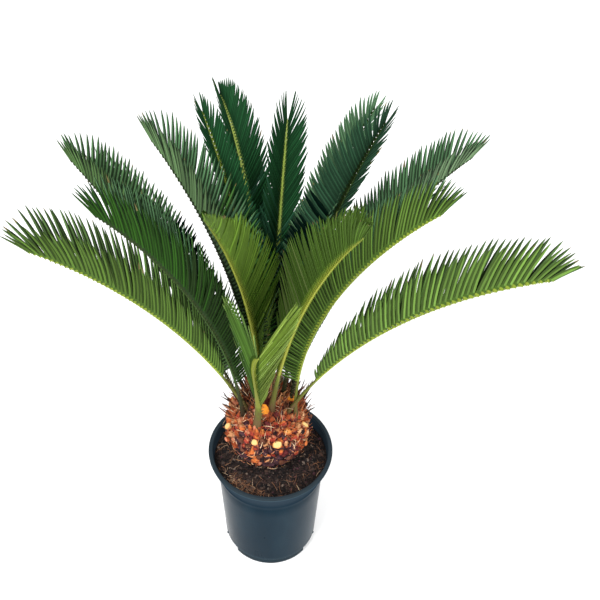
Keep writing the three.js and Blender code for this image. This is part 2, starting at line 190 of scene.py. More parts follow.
def darken_above(m, z, colour, soft=0.002):
    """Blend the base colour into another from the height z up, with a soft edge."""
    nt = m.node_tree
    b = nt.nodes["Principled BSDF"]
    old = b.inputs["Base Color"].links[0].from_socket
    tc = nt.nodes.new("ShaderNodeTexCoord")
    xyz = nt.nodes.new("ShaderNodeSeparateXYZ")
    nt.links.new(tc.outputs["Object"], xyz.inputs[0])
    mr = nt.nodes.new("ShaderNodeMapRange")
    mr.inputs["From Min"].default_value, mr.inputs["From Max"].default_value = z - soft, z + soft
    nt.links.new(xyz.outputs["Z"], mr.inputs["Value"])
    mix = nt.nodes.new("ShaderNodeMix")
    mix.data_type = "RGBA"
    nt.links.new(mr.outputs["Result"], mix.inputs[0])
    sockets = [i for i in mix.inputs if i.type == "RGBA"]
    nt.links.new(old, sockets[0])
    sockets[1].default_value = colour
    nt.links.new([o for o in mix.outputs if o.type == "RGBA"][0], b.inputs["Base Color"])


LEAF_BUMP = (1400, 0.2, 0.0004)
MATS = {}


def M(name):
    return MATS[name]


def leaf_mat(key, rgb, rough=0.48, spec=0.2):
    MATS[key] = plain(key, rgb, rough, spec, LEAF_BUMP)


# greens of the leaflets, each in three shades and a darker copy, painted shade for one half of each leaflet; set frond
# by frond, the greens also hold part of each frond's light and shade as painted light and painted shade
GREENS = {
    "pine": (58, 110, 80), "pine_light": (38, 85, 50), "night": (6, 25, 18), "night_light": (48, 82, 59), "haze_low": (58, 85, 66), "haze": (104, 145, 106),
    "moss": (68, 108, 52), "moss_light": (77, 112, 77), "sea": (76, 109, 71), "sage_dark": (94, 128, 64), "sage": (75, 101, 56),
    "leaf_low": (150, 188, 68), "leaf": (46, 76, 18), "face_low": (99, 117, 62), "face": (65, 90, 34), "fresh": (108, 126, 57), "fresh_tip": (152, 180, 92),
    "leaf_mid": (85, 113, 39), "cool": (70, 98, 50), "cool_tip": (80, 110, 52), "fresh_in": (118, 141, 61), "olive": (73, 99, 41), "olive_light": (93, 123, 56), "olive_dark": (33, 54, 22), "olive_deep": (37, 70, 22), "fern": (85, 112, 74), "fern_light": (95, 119, 87), "dusk": (76, 106, 60),
}
EVEN = ("leaf", "leaf_low", "leaf_mid", "face", "face_low", "fresh", "fresh_in", "fresh_tip", "cool", "cool_tip", "pine", "pine_light", "night", "night_light", "haze", "haze_low")
for tone, rgb in GREENS.items():
    # the fourth copy (index 3) is the darker one: painted shade for one half of each leaflet
    for i, k in enumerate((0.88, 1.0, 1.12, 0.8 if tone in EVEN[:10] else 0.7 if tone in EVEN else 0.6 if tone.startswith("olive") else 0.5)):
        leaf_mat(f"leaf_{tone}_{i}", tuple(min(250, c * k) for c in rgb), 0.5, 0.012)
# midrib colours by kind; the 'light' kind is painted much paler than the rest, a painted highlight making up for the
# shade those midribs lie in
for kind, top_rgb, low_rgb, base_rgb, neck_rgb in (("bright", (138, 156, 66), (136, 150, 60), (116, 132, 48), (60, 84, 32)),
                                                    ("warm", (158, 164, 66), (146, 150, 60), (112, 122, 44), (84, 104, 36)),
                                                    ("light", (204, 220, 116), (188, 206, 102), (190, 206, 110), (70, 98, 52)),
                                                    ("gold", (128, 134, 60), (112, 116, 50), (118, 128, 50), (60, 84, 32)),
                                                    ("dim", (60, 86, 42), (52, 74, 34), (42, 54, 26), (32, 50, 24))):
    leaf_mat(f"rib_inner_{kind}", top_rgb, 0.5, 0.06)
    leaf_mat(f"rib_outer_{kind}", low_rgb, 0.55, 0.05)
    leaf_mat(f"leaf_base_{kind}", base_rgb, 0.55, 0.04)
    leaf_mat(f"leaf_neck_{kind}", neck_rgb, 0.55, 0.04)
leaf_mat("leaf_tip_brown", (96, 88, 52), 0.7, 0.1)
leaf_mat("leaf_tip_grey", (66, 82, 48), 0.6, 0.1)
STALK_STEPS = [(92, 76, 50), (88, 82, 44), (90, 92, 42), (98, 106, 46), (112, 122, 52)]
for i, rgb in enumerate(STALK_STEPS):
    leaf_mat(f"stalk_{i}", rgb, 0.6, 0.04)
for i, rgb in enumerate([(50, 40, 28), (44, 46, 28), (50, 60, 34)]):
    leaf_mat(f"stalk_dark_{i}", rgb, 0.6, 0.04)
leaf_mat("spine", (96, 84, 52), 0.6, 0.25)

BARK_BUMP = (520, 0.7, 0.0016)
for key, rgb in {
    "bark_rust": (150, 70, 36), "bark_orange": (192, 104, 50), "bark_red": (148, 54, 38), "bark_brown": (92, 54, 38),
    "bark_purple": (66, 40, 46), "bark_dark": (32, 20, 22), "bark_tan": (184, 130, 88), "bark_pink": (190, 118, 88),
    "bark_wine": (88, 34, 34), "cut_soft": (222, 172, 126), "cut_cream": (206, 178, 116), "cut_amber": (226, 140, 42), "cut_rim": (206, 140, 74),
    "wool_pale": (226, 196, 160), "wool_rust": (170, 92, 52), "cata_dark": (56, 38, 32), "cata_brown": (112, 70, 46),
    "soil_black": (17, 14, 15), "soil_brown": (38, 30, 28), "soil_mid": (60, 49, 44), "soil_pale": (104, 90, 80),
    "coir_rust": (122, 84, 60), "coir_tan": (150, 122, 98), "coir_dark": (62, 45, 38),
}.items():
    MATS[key] = plain(key, rgb, 0.78, 0.2, BARK_BUMP)


# ------------------------------------------------------------------ mesh building
class Batch:
    """Many small shapes joined into one mesh, each face with its own material."""

    def __init__(self, name):
        self.name, self.v, self.f, self.m, self.n, self.keys = name, [], [], [], 0, []

    def key(self, material):
        if material not in self.keys:
            self.keys.append(material)
        return self.keys.index(material)

    def add(self, verts, faces, mats):
        verts = np.asarray(verts, float)
        o = self.n
        self.v.append(verts)
        self.f.extend([tuple(i + o for i in f) for f in faces])
        if isinstance(mats, str):
            self.m.extend([self.key(mats)] * len(faces))
        else:
            self.m.extend([self.key(k) for k in mats])
        self.n += len(verts)

    def object(self, smooth=50.0):
        me = bpy.data.meshes.new(self.name)
        me.from_pydata((np.concatenate(self.v) * MM).tolist(), [], self.f)
        for k in self.keys:
            me.materials.append(M(k))
        me.polygons.foreach_set("material_index", self.m)
        me.validate()
        me.update()
        if smooth:
            me.shade_smooth()
            me.set_sharp_from_angle(angle=math.radians(smooth))
        ob = bpy.data.objects.new(self.name, me)
        bpy.context.scene.collection.objects.link(ob)
        return ob


def tube(rings, tip=None, cap_start=True, cap_end=True):
    """Faces that join rings of k points (m, k, 3); closed at both ends, by a point where tip is given. Returns verts, faces, and each face's (ring, side)."""
    rings = np.asarray(rings, float)
    m, k, _ = rings.shape
    verts = rings.reshape(-1, 3)
    faces, where = [], []
    for r in range(m - 1):
        for s in range(k):
            t = (s + 1) % k
            faces.append((r * k + s, r * k + t, (r + 1) * k + t, (r + 1) * k + s))
            where.append((r, s))
    if cap_start:
        faces.append(tuple(range(k - 1, -1, -1)))
        where.append((0, -1))
    if tip is not None:
        verts = np.vstack([verts, tip])
        e = m * k
        for s in range(k):
            faces.append(((m - 1) * k + s, (m - 1) * k + (s + 1) % k, e))
            where.append((m - 1, s))
    elif cap_end:
        faces.append(tuple((m - 1) * k + s for s in range(k)))
        where.append((m - 1, -1))
    return verts, faces, where


def unit(a):
    a = np.asarray(a, float)
    return a / np.maximum(1e-12, np.linalg.norm(a, axis=-1, keepdims=True))


def turn(v, axis, angle):
    """v turned about a unit axis by angle (radians)."""
    c, s = math.cos(angle), math.sin(angle)
    return v * c + np.cross(axis, v) * s + axis * np.dot(axis, v) * (1 - c)


# ------------------------------------------------------------------ frond geometry
def midrib(row):
    az0, length, e0, e1, bend, roll0, roll1, _, _, _, base_r, base_z = row[:12]
    t = np.linspace(0, 1, CURVE_STEPS)
    az, el = np.radians(az0 + bend * t), np.radians(e0 + (e1 - e0) * t)
    T = np.stack([np.cos(el) * np.cos(az), np.cos(el) * np.sin(az), np.sin(el)], 1)
    P = np.zeros((CURVE_STEPS, 3))
    a0 = math.radians(az0)
    P[0] = [TRUNK_X + 0.5 + base_r * math.cos(a0), base_r * math.sin(a0), base_z]
    P[1:] = P[0] + np.cumsum((T[1:] + T[:-1]) / 2 * (length / (CURVE_STEPS - 1)), 0)
    S = np.stack([-np.sin(az), np.cos(az), 0 * az], 1)
    N = np.cross(T, S)
    a = np.radians(roll0 + (roll1 - roll0) * t)[:, None]
    S2, N2 = S * np.cos(a) + np.cross(T, S) * np.sin(a), N * np.cos(a) + np.cross(T, N) * np.sin(a)

    def at(x):
        x = np.atleast_1d(np.asarray(x, float))
        xc = np.clip(x, 0, 1)
        pick = lambda A: np.stack([np.interp(xc, t, A[:, i]) for i in range(3)], 1)
        p = pick(P)
        p = p + T[0] * np.minimum(x, 0)[:, None] * length + T[-1] * np.maximum(x - 1, 0)[:, None] * length
        return p, unit(pick(T)), unit(pick(S2)), unit(pick(N2))
    return at


def stalk_radius(t):
    return np.interp(t, [-0.1, 0.0, 0.05, 0.12, 0.17, 0.4, 0.7, 1.0], [4.0, 3.6, 2.9, 2.3, 1.9, 1.35, 0.95, 0.5])


LEAF_S = np.array([0.0, 0.045, 0.1, 0.3, 0.5, 0.7, 0.85, 0.94])
LEAF_W = np.array([1.12, 1.1, 1.05, 1.0, 0.95, 0.8, 0.54, 0.28])


def leaflet(batch, p, T, S, N, sign, length, half, g, v, curve, arch, tilt, mats, tip_from):
    """One leaflet: six-point rings along a gently curved line, keeled below and rolled down at its margins; the half
    nearer the frond's base is given a darker green on both faces, painted shade on one side of the fold.
    """
    n_st = len(LEAF_S)
    pts, dirs = [p], []
    s_all = np.append(LEAF_S, 1.0)
    for i in range(n_st + 1):
        s = s_all[i]
        gg, vv = g + curve * (0.45 - s), v + arch * (0.45 - s)
        d = math.cos(gg) * T + math.sin(gg) * (math.cos(vv) * sign * S + math.sin(vv) * N)
        dirs.append(d)
    pos = [p]
    for i in range(n_st):
        pos.append(pos[-1] + (dirs[i] + dirs[i + 1]) / 2 * length * (s_all[i + 1] - s_all[i]))
    rings = []
    for i in range(n_st):
        vv = v + arch * (0.45 - s_all[i])
        face = N * math.cos(vv) - sign * S * math.sin(vv)
        d = unit(dirs[i])
        w = unit(np.cross(d, face))
        if np.dot(w, T) < 0:
            w = -w
        w = turn(w, d, tilt * sign)
        n = np.cross(d, w)
        if np.dot(n, face) < 0:
            n = -n
        hw = half * LEAF_W[i]
        th = 0.34 if i else 0.5
        roll = 0.52 * hw
        o = pos[i]
        ring = [o + w * hw - n * roll, o + w * hw * 0.55 + n * th * 0.7, o + n * th * 0.35, o - w * hw * 0.55 + n * th * 0.7,
                o - w * hw - n * roll, o - n * (0.42 + 0.1 * hw)]
        rings.append(ring)
    verts, faces, where = tube(rings, tip=pos[-1])
    # outward order: the ring runs one way round; check it once against the third ring
    a = np.asarray(rings[2])
    area = np.zeros(3)
    for q in range(6):
        area += np.cross(a[q] - pos[2], a[(q + 1) % 6] - pos[2])
    if np.dot(area, dirs[2]) < 0:
        faces = [tuple(reversed(f)) for f in faces]
    inner, inner_shaded_half, outer, outer_shaded_half, base, neck, tipm = mats
    out = []
    for r, side in where:
        if r >= tip_from:
            out.append(tipm)
        elif r == 0:
            out.append(base)
        elif r == 1:
            out.append(neck)
        # the half nearer the frond's base (sides 2 and 3 above, side 4 below) takes the darker green: painted shade
        elif side in (4, 5):
            out.append(outer_shaded_half if side == 4 else outer)
        else:
            out.append(inner_shaded_half if side in (2, 3) else inner)
    batch.add(verts, faces, out)


def build_frond(name, row):
    r = np.random.default_rng(abs(hash_name(name)) % (2 ** 32))
    length, leaf, rise0, rise1, g0, g1, g2 = row[1], row[7], row[8], row[9], row[12], row[13], row[14]
    at = midrib(row)
    _, rib_kind, brown, pitch, cover = TONES[name]
    full_sign, full_by = FULLER_ROW.get(name, (0, 1.0))
    shorter = SHORTER_ROW.get(name, 1.0)
    blade = length * (1 - LEAF_START)
    leaves = Batch(name + "_leaflets")
    w_grid = np.linspace(0, 1, 400)
    spacing = np.interp(w_grid, [0, 0.5, 1.0], pitch)
    cum = np.concatenate([[0], np.cumsum((1 / spacing[1:] + 1 / spacing[:-1]) / 2 * blade / 399)])
    n = int(cum[-1])
    ws = np.interp((np.arange(n + 1)) * cum[-1] / n, cum, w_grid)
    phase = r.uniform(0, 6.28, 4)
    for sign in (1, -1):
        off = 0.0 if sign > 0 else 0.5 / n
        drift = np.cumsum(r.normal(0, 0.5, n + 1))
        drift = 1.0 * np.sin(drift * 0.35)
        tones = ROW_TONES.get((name, sign), TONES[name][0])
        for i, w0 in enumerate(ws):
            w = min(1.0, max(0.0, w0 + off * (1 if w0 < 0.985 else -1)))
            t = LEAF_START + (1 - LEAF_START) * w
            p, T, S, N = (a[0] for a in at(t))
            g_mean = np.interp(w, [0, 0.5, 1], [g0, g1, g2]) * (1 - TIP_FAN * max(0.0, (w - 0.9) / 0.1))
            wave = 0.9 * math.sin(9 * w + phase[0 if sign > 0 else 1])
            g = math.radians(g_mean + r.normal(0, 0.8) + wave + drift[i])
            v = math.radians(rise0 + (rise1 - rise0) * w + r.normal(0, 1.1) + 1.2 * math.sin(7 * w + phase[2 if sign > 0 else 3]))
            ln = leaf * np.interp(w, *LEAF_LENGTH_AT) * (1 + r.normal(0, 0.02))
            ln *= np.interp(w, *LONGER_AT.get(name, ([0, 1], [1, 1])))
            if sign < 0:
                ln *= 1 - w * (1 - shorter)
            step = np.interp(w, [0, 0.5, 1.0], pitch)
            half = min(2.9, max(1.3, 0.5 * cover * step * math.sin(math.radians(max(g_mean, 30.0) + 6.0))))
            half *= np.interp(w, [0, 0.08, 0.9, 1], [0.85, 1, 1, 0.85]) * (full_by if sign == full_sign else 1.0)
            rr = stalk_radius(t)
            start = p + sign * S * rr * 0.5 + N * rr * 0.45
            curve = math.radians(9 + r.normal(0, 1.8))
            arch = math.radians(6 + r.normal(0, 1.8))
            tilt = math.radians(12 + r.normal(0, 3.5))
            upper = int(w + r.normal(0, 0.025 if (name, sign) in SPLIT_AT else 0.07) > SPLIT_AT.get((name, sign), 0.5))
            shade = r.choice(3, p=[0.32, 0.4, 0.28])
            # the leaflet's darker green (shade 3) is painted shade for its half nearer the frond's base
            a, a_dark = f"leaf_{tones[upper]}_{shade}", f"leaf_{tones[upper]}_3"
            b, b_dark = f"leaf_{tones[2 + upper]}_{shade}", f"leaf_{tones[2 + upper]}_3"
            chance = brown * (0.1 + 0.3 * w)
            tip = r.random()
            tipm = "leaf_tip_brown" if tip < chance * 0.55 else "leaf_tip_grey"
            tip_from = 7 if tip < chance else 8
            if tip < chance * 0.12:
                tip_from = 6
            leaflet(leaves, start, T, S, N, sign, ln, half, g, v, curve, arch, tilt, (a, a_dark, b, b_dark, f"leaf_base_{rib_kind}", f"leaf_neck_{rib_kind}", tipm), tip_from)
    lo = leaves.object(48)

    # stalk and midrib: a tapering tube, flatter above
    stalk = Batch(name + "_stalk")
    ts = np.concatenate([[-STALK_ROOT * 0.8 / length], np.linspace(-0.02, 1.0, 70)])
    P, T, S, N = at(ts)
    P = P + np.array(STALK_SHIFT.get(name, (0, 0, 0)))[None, :] * (np.maximum(0.0, 1 - ts / 0.17) ** 1.4)[:, None]
    rings = []
    k = 12
    for i, t in enumerate(ts):
        rr = stalk_radius(t) * (1 + 0.02 * r.normal()) * (1.1 if rib_kind == "light" else 1.0)
        wide = np.interp(t, [-0.05, 0.0, 0.06, 0.2], [1.35, 1.25, 1.08, 1.0])
        ring = []
        for q in range(k):
            a = -math.pi / 2 + 2 * math.pi * q / k
            x, y = math.cos(a) * rr * wide * np.interp(t, *STALK_WIDE.get(name, ([0, 1], [1, 1]))), math.sin(a) * rr
            if y > 0:
                y *= 0.62
            ring.append(P[i] + S[i] * x + N[i] * y)
        rings.append(ring)
    tip = at(1.0 + 4.0 / length)[0][0]
    verts, faces, where = tube(rings, tip=tip)
    mats = []
    for ri, side in where:
        t = ts[min(ri, len(ts) - 1)]
        ang = -90 + 360 * (side + 0.5) / k
        up = 20 < ang < 160
        x = np.interp(t, [0.0, 0.03, 0.07, 0.12, 0.17], [0, 1, 2, 3, 4.3]) + r.normal(0, 0.35) + (0.4 if up else 0) - (1.2 if name in STALK_WIDE else 0)
        if t < 0.17:
            mats.append(f"stalk_{int(np.clip(round(x), 0, 4))}" if rib_kind != "dim" and not name.startswith("frond_back") else f"stalk_dark_{int(np.clip(round(x / 2), 0, 2))}")
        else:
            mats.append(f"rib_inner_{rib_kind}" if up else f"rib_outer_{rib_kind}")
    stalk.add(verts, faces, mats)
    # short spines below the first leaflets
    for sign in (1, -1):
        for t in np.linspace(0.045, 0.16, 9):
            t += r.normal(0, 0.003)
            p, T_, S_, N_ = (a[0] for a in at(t))
            rr = stalk_radius(t)
            d = unit(T_ * 0.75 + sign * S_ * 0.75 + N_ * 0.35)
            ln = np.interp(t, [0.04, 0.16], [3.0, 9.0]) * r.uniform(0.7, 1.2)
            o = p + sign * S_ * rr * 0.9 + N_ * rr * 0.25
            ax1, ax2 = unit(np.cross(d, T_ + 1e-6)), None
            ax2 = np.cross(d, ax1)
            ring = [o + (ax1 * math.cos(x) + ax2 * math.sin(x)) * 0.8 for x in (0, math.pi / 2, math.pi, 3 * math.pi / 2)]
            vv, ff, _ = tube([ring], tip=o + d * ln)
            stalk.add(vv, ff, "spine")
    so = stalk.object(60)
    for piece in (lo, so):
        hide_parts(name)
        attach(piece, "root")
    return lo, so


def hash_name(s):
    h = 2166136261
    for ch in s:
        h = ((h ^ ord(ch)) * 16777619) & 0xFFFFFFFF
    return h


for name, row in FRONDS.items():
    build_frond(name, row)


# ------------------------------------------------------------------ trunk
BALL = np.array(TRUNK_PROFILE, float)
BALL_SCALE = 0.915


def ball_point(z, a):
    """Point, outward normal and upward tangent on the trunk's core, z mm above its foot, at angle a."""
    r = np.interp(z, BALL[:, 0], BALL[:, 1]) * BALL_SCALE
    dz = 1.0
    slope = (np.interp(z + dz, BALL[:, 0], BALL[:, 1]) - np.interp(z - dz, BALL[:, 0], BALL[:, 1])) * BALL_SCALE / (2 * dz)
    out = np.array([math.cos(a), math.sin(a), 0.0])
    up = unit(out * slope + np.array([0, 0, 1.0]))
    nrm = unit(out - np.array([0, 0, 1.0]) * slope)
    p = np.array([TRUNK_X, TRUNK_Y, SOIL_TOP_Z + z]) + out * r
    return p, nrm, up


def smooth(x):
    x = np.clip(x, 0, 1)
    return x * x * (3 - 2 * x)


# patches of the front that are darker, redder or paler than the rest: picture place, half width, half height, kind
PATCHES = [(240, 438, 5, 8, "dark"), (267, 434, 4, 5, "dark"), (264, 451, 5, 5, "dark"), (290, 437, 4, 5, "dark"), (248, 424, 3, 4, "dark"), (241, 416, 4, 6, "dark"),
           (262, 425, 4, 4, "dark"), (278, 416, 5, 5, "wine"), (272, 424, 5, 5, "wine"), (297, 436, 4, 6, "wine"), (287, 451, 8, 5, "wine"), (236, 450, 6, 5, "dark"),
           (250, 431, 5, 4, "red"), (261, 432, 4, 3, "red"), (288, 421, 8, 5, "red"), (282, 431, 6, 3, "orange"), (272, 435, 4, 3, "red"), (300, 442, 5, 5, "red"),
           (234, 415, 5, 5, "pink"), (236, 421, 4, 4, "tan"), (300, 416, 6, 4, "tan"), (297, 422, 6, 4, "orange"), (303, 430, 3, 5, "tan"),
           (230, 435, 5, 6, "tan"), (250, 453, 7, 3, "orange"), (257, 461, 4, 3, "tan"), (284, 443, 4, 4, "orange"), (269, 421, 3, 5, "orange"), (276, 405, 6, 9, "fibre"),
           (286, 408, 6, 8, "fibre"), (246, 404, 4, 6, "fibre")]


def to_picture(pts):
    """Picture place of points, in the photograph's frame."""
    q = pts - CAM_POS
    fwd = np.array([0, math.cos(CAM_PITCH), -math.sin(CAM_PITCH)])
    up = np.array([0, math.sin(CAM_PITCH), math.cos(CAM_PITCH)])
    d = q @ fwd
    return CAM_CX + CAM_F * q[:, 0] / d, CAM_CY - CAM_F * (q @ up) / d


PALETTE = {
    "deep": [("bark_purple", 0.46), ("bark_dark", 0.28), ("bark_brown", 0.2), ("bark_wine", 0.06)],
    "crown": [("bark_brown", 0.35), ("bark_dark", 0.25), ("bark_rust", 0.18), ("bark_tan", 0.22)],
    "low": [("bark_purple", 0.3), ("bark_brown", 0.18), ("bark_dark", 0.12), ("bark_wine", 0.12), ("bark_rust", 0.1), ("bark_red", 0.08), ("bark_tan", 0.06), ("bark_pink", 0.04)],
    "mid": [("bark_rust", 0.17), ("bark_red", 0.24), ("bark_orange", 0.06), ("bark_tan", 0.1), ("bark_wine", 0.17), ("bark_purple", 0.12), ("bark_brown", 0.1), ("bark_pink", 0.04)],
    "top": [("bark_rust", 0.22), ("bark_orange", 0.16), ("bark_red", 0.14), ("bark_tan", 0.2), ("bark_brown", 0.14), ("bark_pink", 0.08), ("bark_wine", 0.06)],
    "dark": [("bark_purple", 0.5), ("bark_dark", 0.25), ("bark_brown", 0.25)],
    "red": [("bark_red", 0.55), ("bark_rust", 0.3), ("bark_orange", 0.15)],
    "wine": [("bark_wine", 0.5), ("bark_purple", 0.2), ("bark_red", 0.3)],
    "pink": [("bark_pink", 0.5), ("bark_rust", 0.3), ("bark_tan", 0.2)],
    "tan": [("bark_tan", 0.35), ("bark_pink", 0.05), ("bark_orange", 0.35), ("bark_rust", 0.25)],
    "orange": [("bark_orange", 0.35), ("bark_rust", 0.4), ("bark_tan", 0.25)],
    "fibre": [("bark_tan", 0.3), ("bark_rust", 0.2), ("bark_brown", 0.35), ("bark_dark", 0.15)],
}
# paler colours for each lump's upper part (the cut end and partly a painted highlight) and darker ones for its lower
# part (painted shade under the lump)
TOPS = {"bark_purple": ["bark_brown", "bark_purple", "bark_rust"], "bark_brown": ["bark_rust", "bark_tan", "bark_brown"], "bark_dark": ["bark_purple", "bark_brown", "bark_dark"],
        "bark_rust": ["bark_orange", "bark_tan", "bark_rust"], "bark_red": ["bark_rust", "bark_pink", "bark_orange"], "bark_orange": ["bark_tan", "cut_rim", "bark_orange"],
        "bark_tan": ["cut_soft", "bark_pink", "bark_tan"], "bark_pink": ["bark_pink", "cut_soft", "bark_tan"], "bark_wine": ["bark_red", "bark_wine", "bark_purple"]}
LOWS = {"bark_purple": "bark_dark", "bark_brown": "bark_purple", "bark_dark": "bark_dark", "bark_rust": "bark_wine", "bark_red": "bark_wine", "bark_orange": "bark_red",
        "bark_tan": "bark_rust", "bark_pink": "bark_brown", "bark_wine": "bark_dark"}


def make_core():
    """The trunk's bark: old leaf bases packed in spirals, each a lump with its own tilt, parted by cracks painted dark
    as painted shade; each lump's upper part is paler, its cut end and partly a painted highlight, and its lower part
    darker, painted shade under the lump.
    """
    r = np.random.default_rng(77)
    na, nz = 330, 122
    zz = np.concatenate([[-3.0], BALL[:, 0]])
    rr = np.concatenate([[BALL[0, 1] - 2], BALL[:, 1]])
    fine_z = np.linspace(-3, 99, 600)
    fine_r = np.interp(fine_z, zz, rr) * BALL_SCALE
    # rounded profile
    ker = np.hanning(41)
    ker /= ker.sum()
    fine_r = np.convolve(np.pad(fine_r, 20, mode="edge"), ker, "valid")
    arc = np.concatenate([[0], np.cumsum(np.hypot(np.diff(fine_z), np.diff(fine_r)))])
    s_grid = np.linspace(0, arc[-1], nz)
    z = np.interp(s_grid, arc, fine_z)
    rad = np.interp(s_grid, arc, fine_r)
    slope_r, slope_z = np.gradient(rad, s_grid), np.gradient(z, s_grid)
    ang = np.linspace(0, 2 * np.pi, na, endpoint=False)
    A, Z = np.meshgrid(ang, z)
    R = np.repeat(rad[:, None], na, 1)
    P = np.stack([R * np.cos(A), R * np.sin(A), Z], 2).reshape(-1, 3)
    out = np.stack([np.cos(A), np.sin(A), 0 * A], 2).reshape(-1, 3)
    sr, sz = np.repeat(slope_r, na)[:, None], np.repeat(slope_z, na)[:, None]
    UP = unit(out * sr + np.array([0, 0, 1.0]) * sz)
    NRM = unit(out * sz - np.array([0, 0, 1.0]) * sr)
    # centres of the leaf bases, by equal area on a golden-angle spiral
    cells = 410
    area = np.cumsum(fine_r * np.gradient(arc))
    area = (area - area[0]) / (area[-1] - area[0])
    zc = np.interp((np.arange(cells) + 0.5) / cells, area, fine_z)
    ac = np.arange(cells) * math.radians(137.508) + r.normal(0, 0.06, cells)
    rc = np.interp(zc, fine_z, fine_r)
    C = np.stack([rc * np.cos(ac), rc * np.sin(ac), zc + r.normal(0, 0.9, cells)], 1)
    amp = r.uniform(1.0, 5.8, cells) * np.interp(zc, [0, 26, 40], [0.55, 0.7, 1.0])
    tilt = r.normal(0.65, 0.45, cells)
    side_tilt = r.normal(0, 0.45, cells)
    warp = np.array([[noise.noise(Vector(q * 0.16)), noise.noise(Vector(q * 0.16 + [31.0, 0, 0])), noise.noise(Vector(q * 0.16 + [0, 57.0, 0]))] for q in P])
    warp2 = np.array([noise.noise(Vector(q * 0.55 + [9.0, 3.0, 0])) for q in P])
    Q = P + warp * 3.4
    near = np.empty(len(P), int)
    F1, F2 = np.empty(len(P)), np.empty(len(P))
    stretch = np.array([1.0, 1.0, 0.62])
    for k in range(0, len(P), 4000):
        d = np.linalg.norm((Q[k:k + 4000, None, :] - C[None, :, :]) * stretch, axis=2)
        idx = np.argpartition(d, 1, axis=1)[:, :2]
        dd = np.take_along_axis(d, idx, 1)
        order = np.argsort(dd, axis=1)
        idx = np.take_along_axis(idx, order, 1)
        dd = np.take_along_axis(dd, order, 1)
        near[k:k + 4000], F1[k:k + 4000], F2[k:k + 4000] = idx[:, 0], dd[:, 0], dd[:, 1]
    edge = F2 - F1
    side = np.cross(UP, NRM)
    V = np.einsum("ij,ij->i", Q - C[near], UP) / 5.0
    U = np.einsum("ij,ij->i", Q - C[near], side) / 5.0
    lump = smooth(edge / 3.2)
    h = amp[near] * lump * (0.75 + 0.5 * np.clip(V * tilt[near] + U * side_tilt[near], -1, 1)) + 0.7 * warp2 - 1.2 * (1 - smooth(edge / 1.4))
    X = P + NRM * h[:, None] + UP * (0.45 * h * lump)[:, None] + np.array([TRUNK_X, TRUNK_Y, SOIL_TOP_Z])
    faces, centre = [], []
    idx = np.arange(nz * na).reshape(nz, na)
    nxt = np.roll(idx, -1, axis=1)
    quads = np.stack([idx[:-1], nxt[:-1], nxt[1:], idx[1:]], 2).reshape(-1, 4)
    fx, fy = to_picture(X[quads].mean(1))
    fz = P[quads].mean(1)[:, 2]
    front = X[quads].mean(1)[:, 1] < TRUNK_Y + 6
    fe, fv, fu, fw = edge[quads].mean(1), V[quads].mean(1), U[quads].mean(1), warp2[quads].mean(1)
    fn = near[quads[:, 0]]
    cx, cy = to_picture(C + np.array([TRUNK_X, TRUNK_Y, SOIL_TOP_Z]))
    kind, deep = [], []
    for i in range(cells):
        zh = zc[i] + r.normal(0, 2.5)
        zone = "deep" if zh < 24 else "low" if zh < 36 else "mid" if zh < 58 else "top"
        if C[i, 1] < 4:
            yh = cy[i] + r.normal(0, 1.3)
            foot = 466.0 - 10.0 * ((cx[i] - 266.0) / 40.0) ** 2
            zone = "deep" if yh > foot - 11 else "low" if yh > foot - 20 else "mid" if yh > 424 else "top" if yh > 404 else "crown"
            for x, y, hw, hh, what in PATCHES:
                if ((cx[i] - x) / hw) ** 2 + ((cy[i] - y) / hh) ** 2 < 1.2:
                    zone = what
        deep.append(zone == "deep")
        names, pr = zip(*PALETTE[zone])
        kind.append(r.choice(names, p=np.array(pr) / sum(pr)))
    top_kind = [TOPS[k][r.integers(0, 3)] for k in kind]
    dust = r.random(len(quads))
    mats = []
    for i in range(len(quads)):
        c = fn[i]
        k = kind[c]
        # the cracks between the lumps: painted shade
        if fe[i] < 0.72 + 0.35 * fw[i]:
            m = "bark_dark" if fz[i] < 36 or dust[i] < 0.45 else "bark_wine"
        # the lump's upper part: its paler cut end and partly a painted highlight
        elif fv[i] > 0.30 + 0.35 * fw[i]:
            m = top_kind[c] if not deep[c] else k
        # the lump's lower part: painted shade
        elif fv[i] < -0.42 + 0.3 * fw[i]:
            m = LOWS[k]
        else:
            m = k
        if dust[i] > 0.975:
            m = "bark_tan" if fz[i] > 30 else "bark_brown"
        mats.append(m)
    b = Batch("trunk_bark")
    b.add(X, [tuple(q) for q in quads.tolist()], mats)
    ends = np.vstack([[TRUNK_X, TRUNK_Y, SOIL_TOP_Z - 3.0], [TRUNK_X, TRUNK_Y, SOIL_TOP_Z + 100.0]])
    o = b.n
    b.v.append(ends)
    b.n += 2
    for q in range(na):
        t = (q + 1) % na
        b.f.append((o, int(idx[0, t]), int(idx[0, q])))
        b.f.append((o + 1, int(idx[-1, q]), int(idx[-1, t])))
        b.m.extend([b.key("bark_dark"), b.key("bark_wine")])
    return b.object(0)


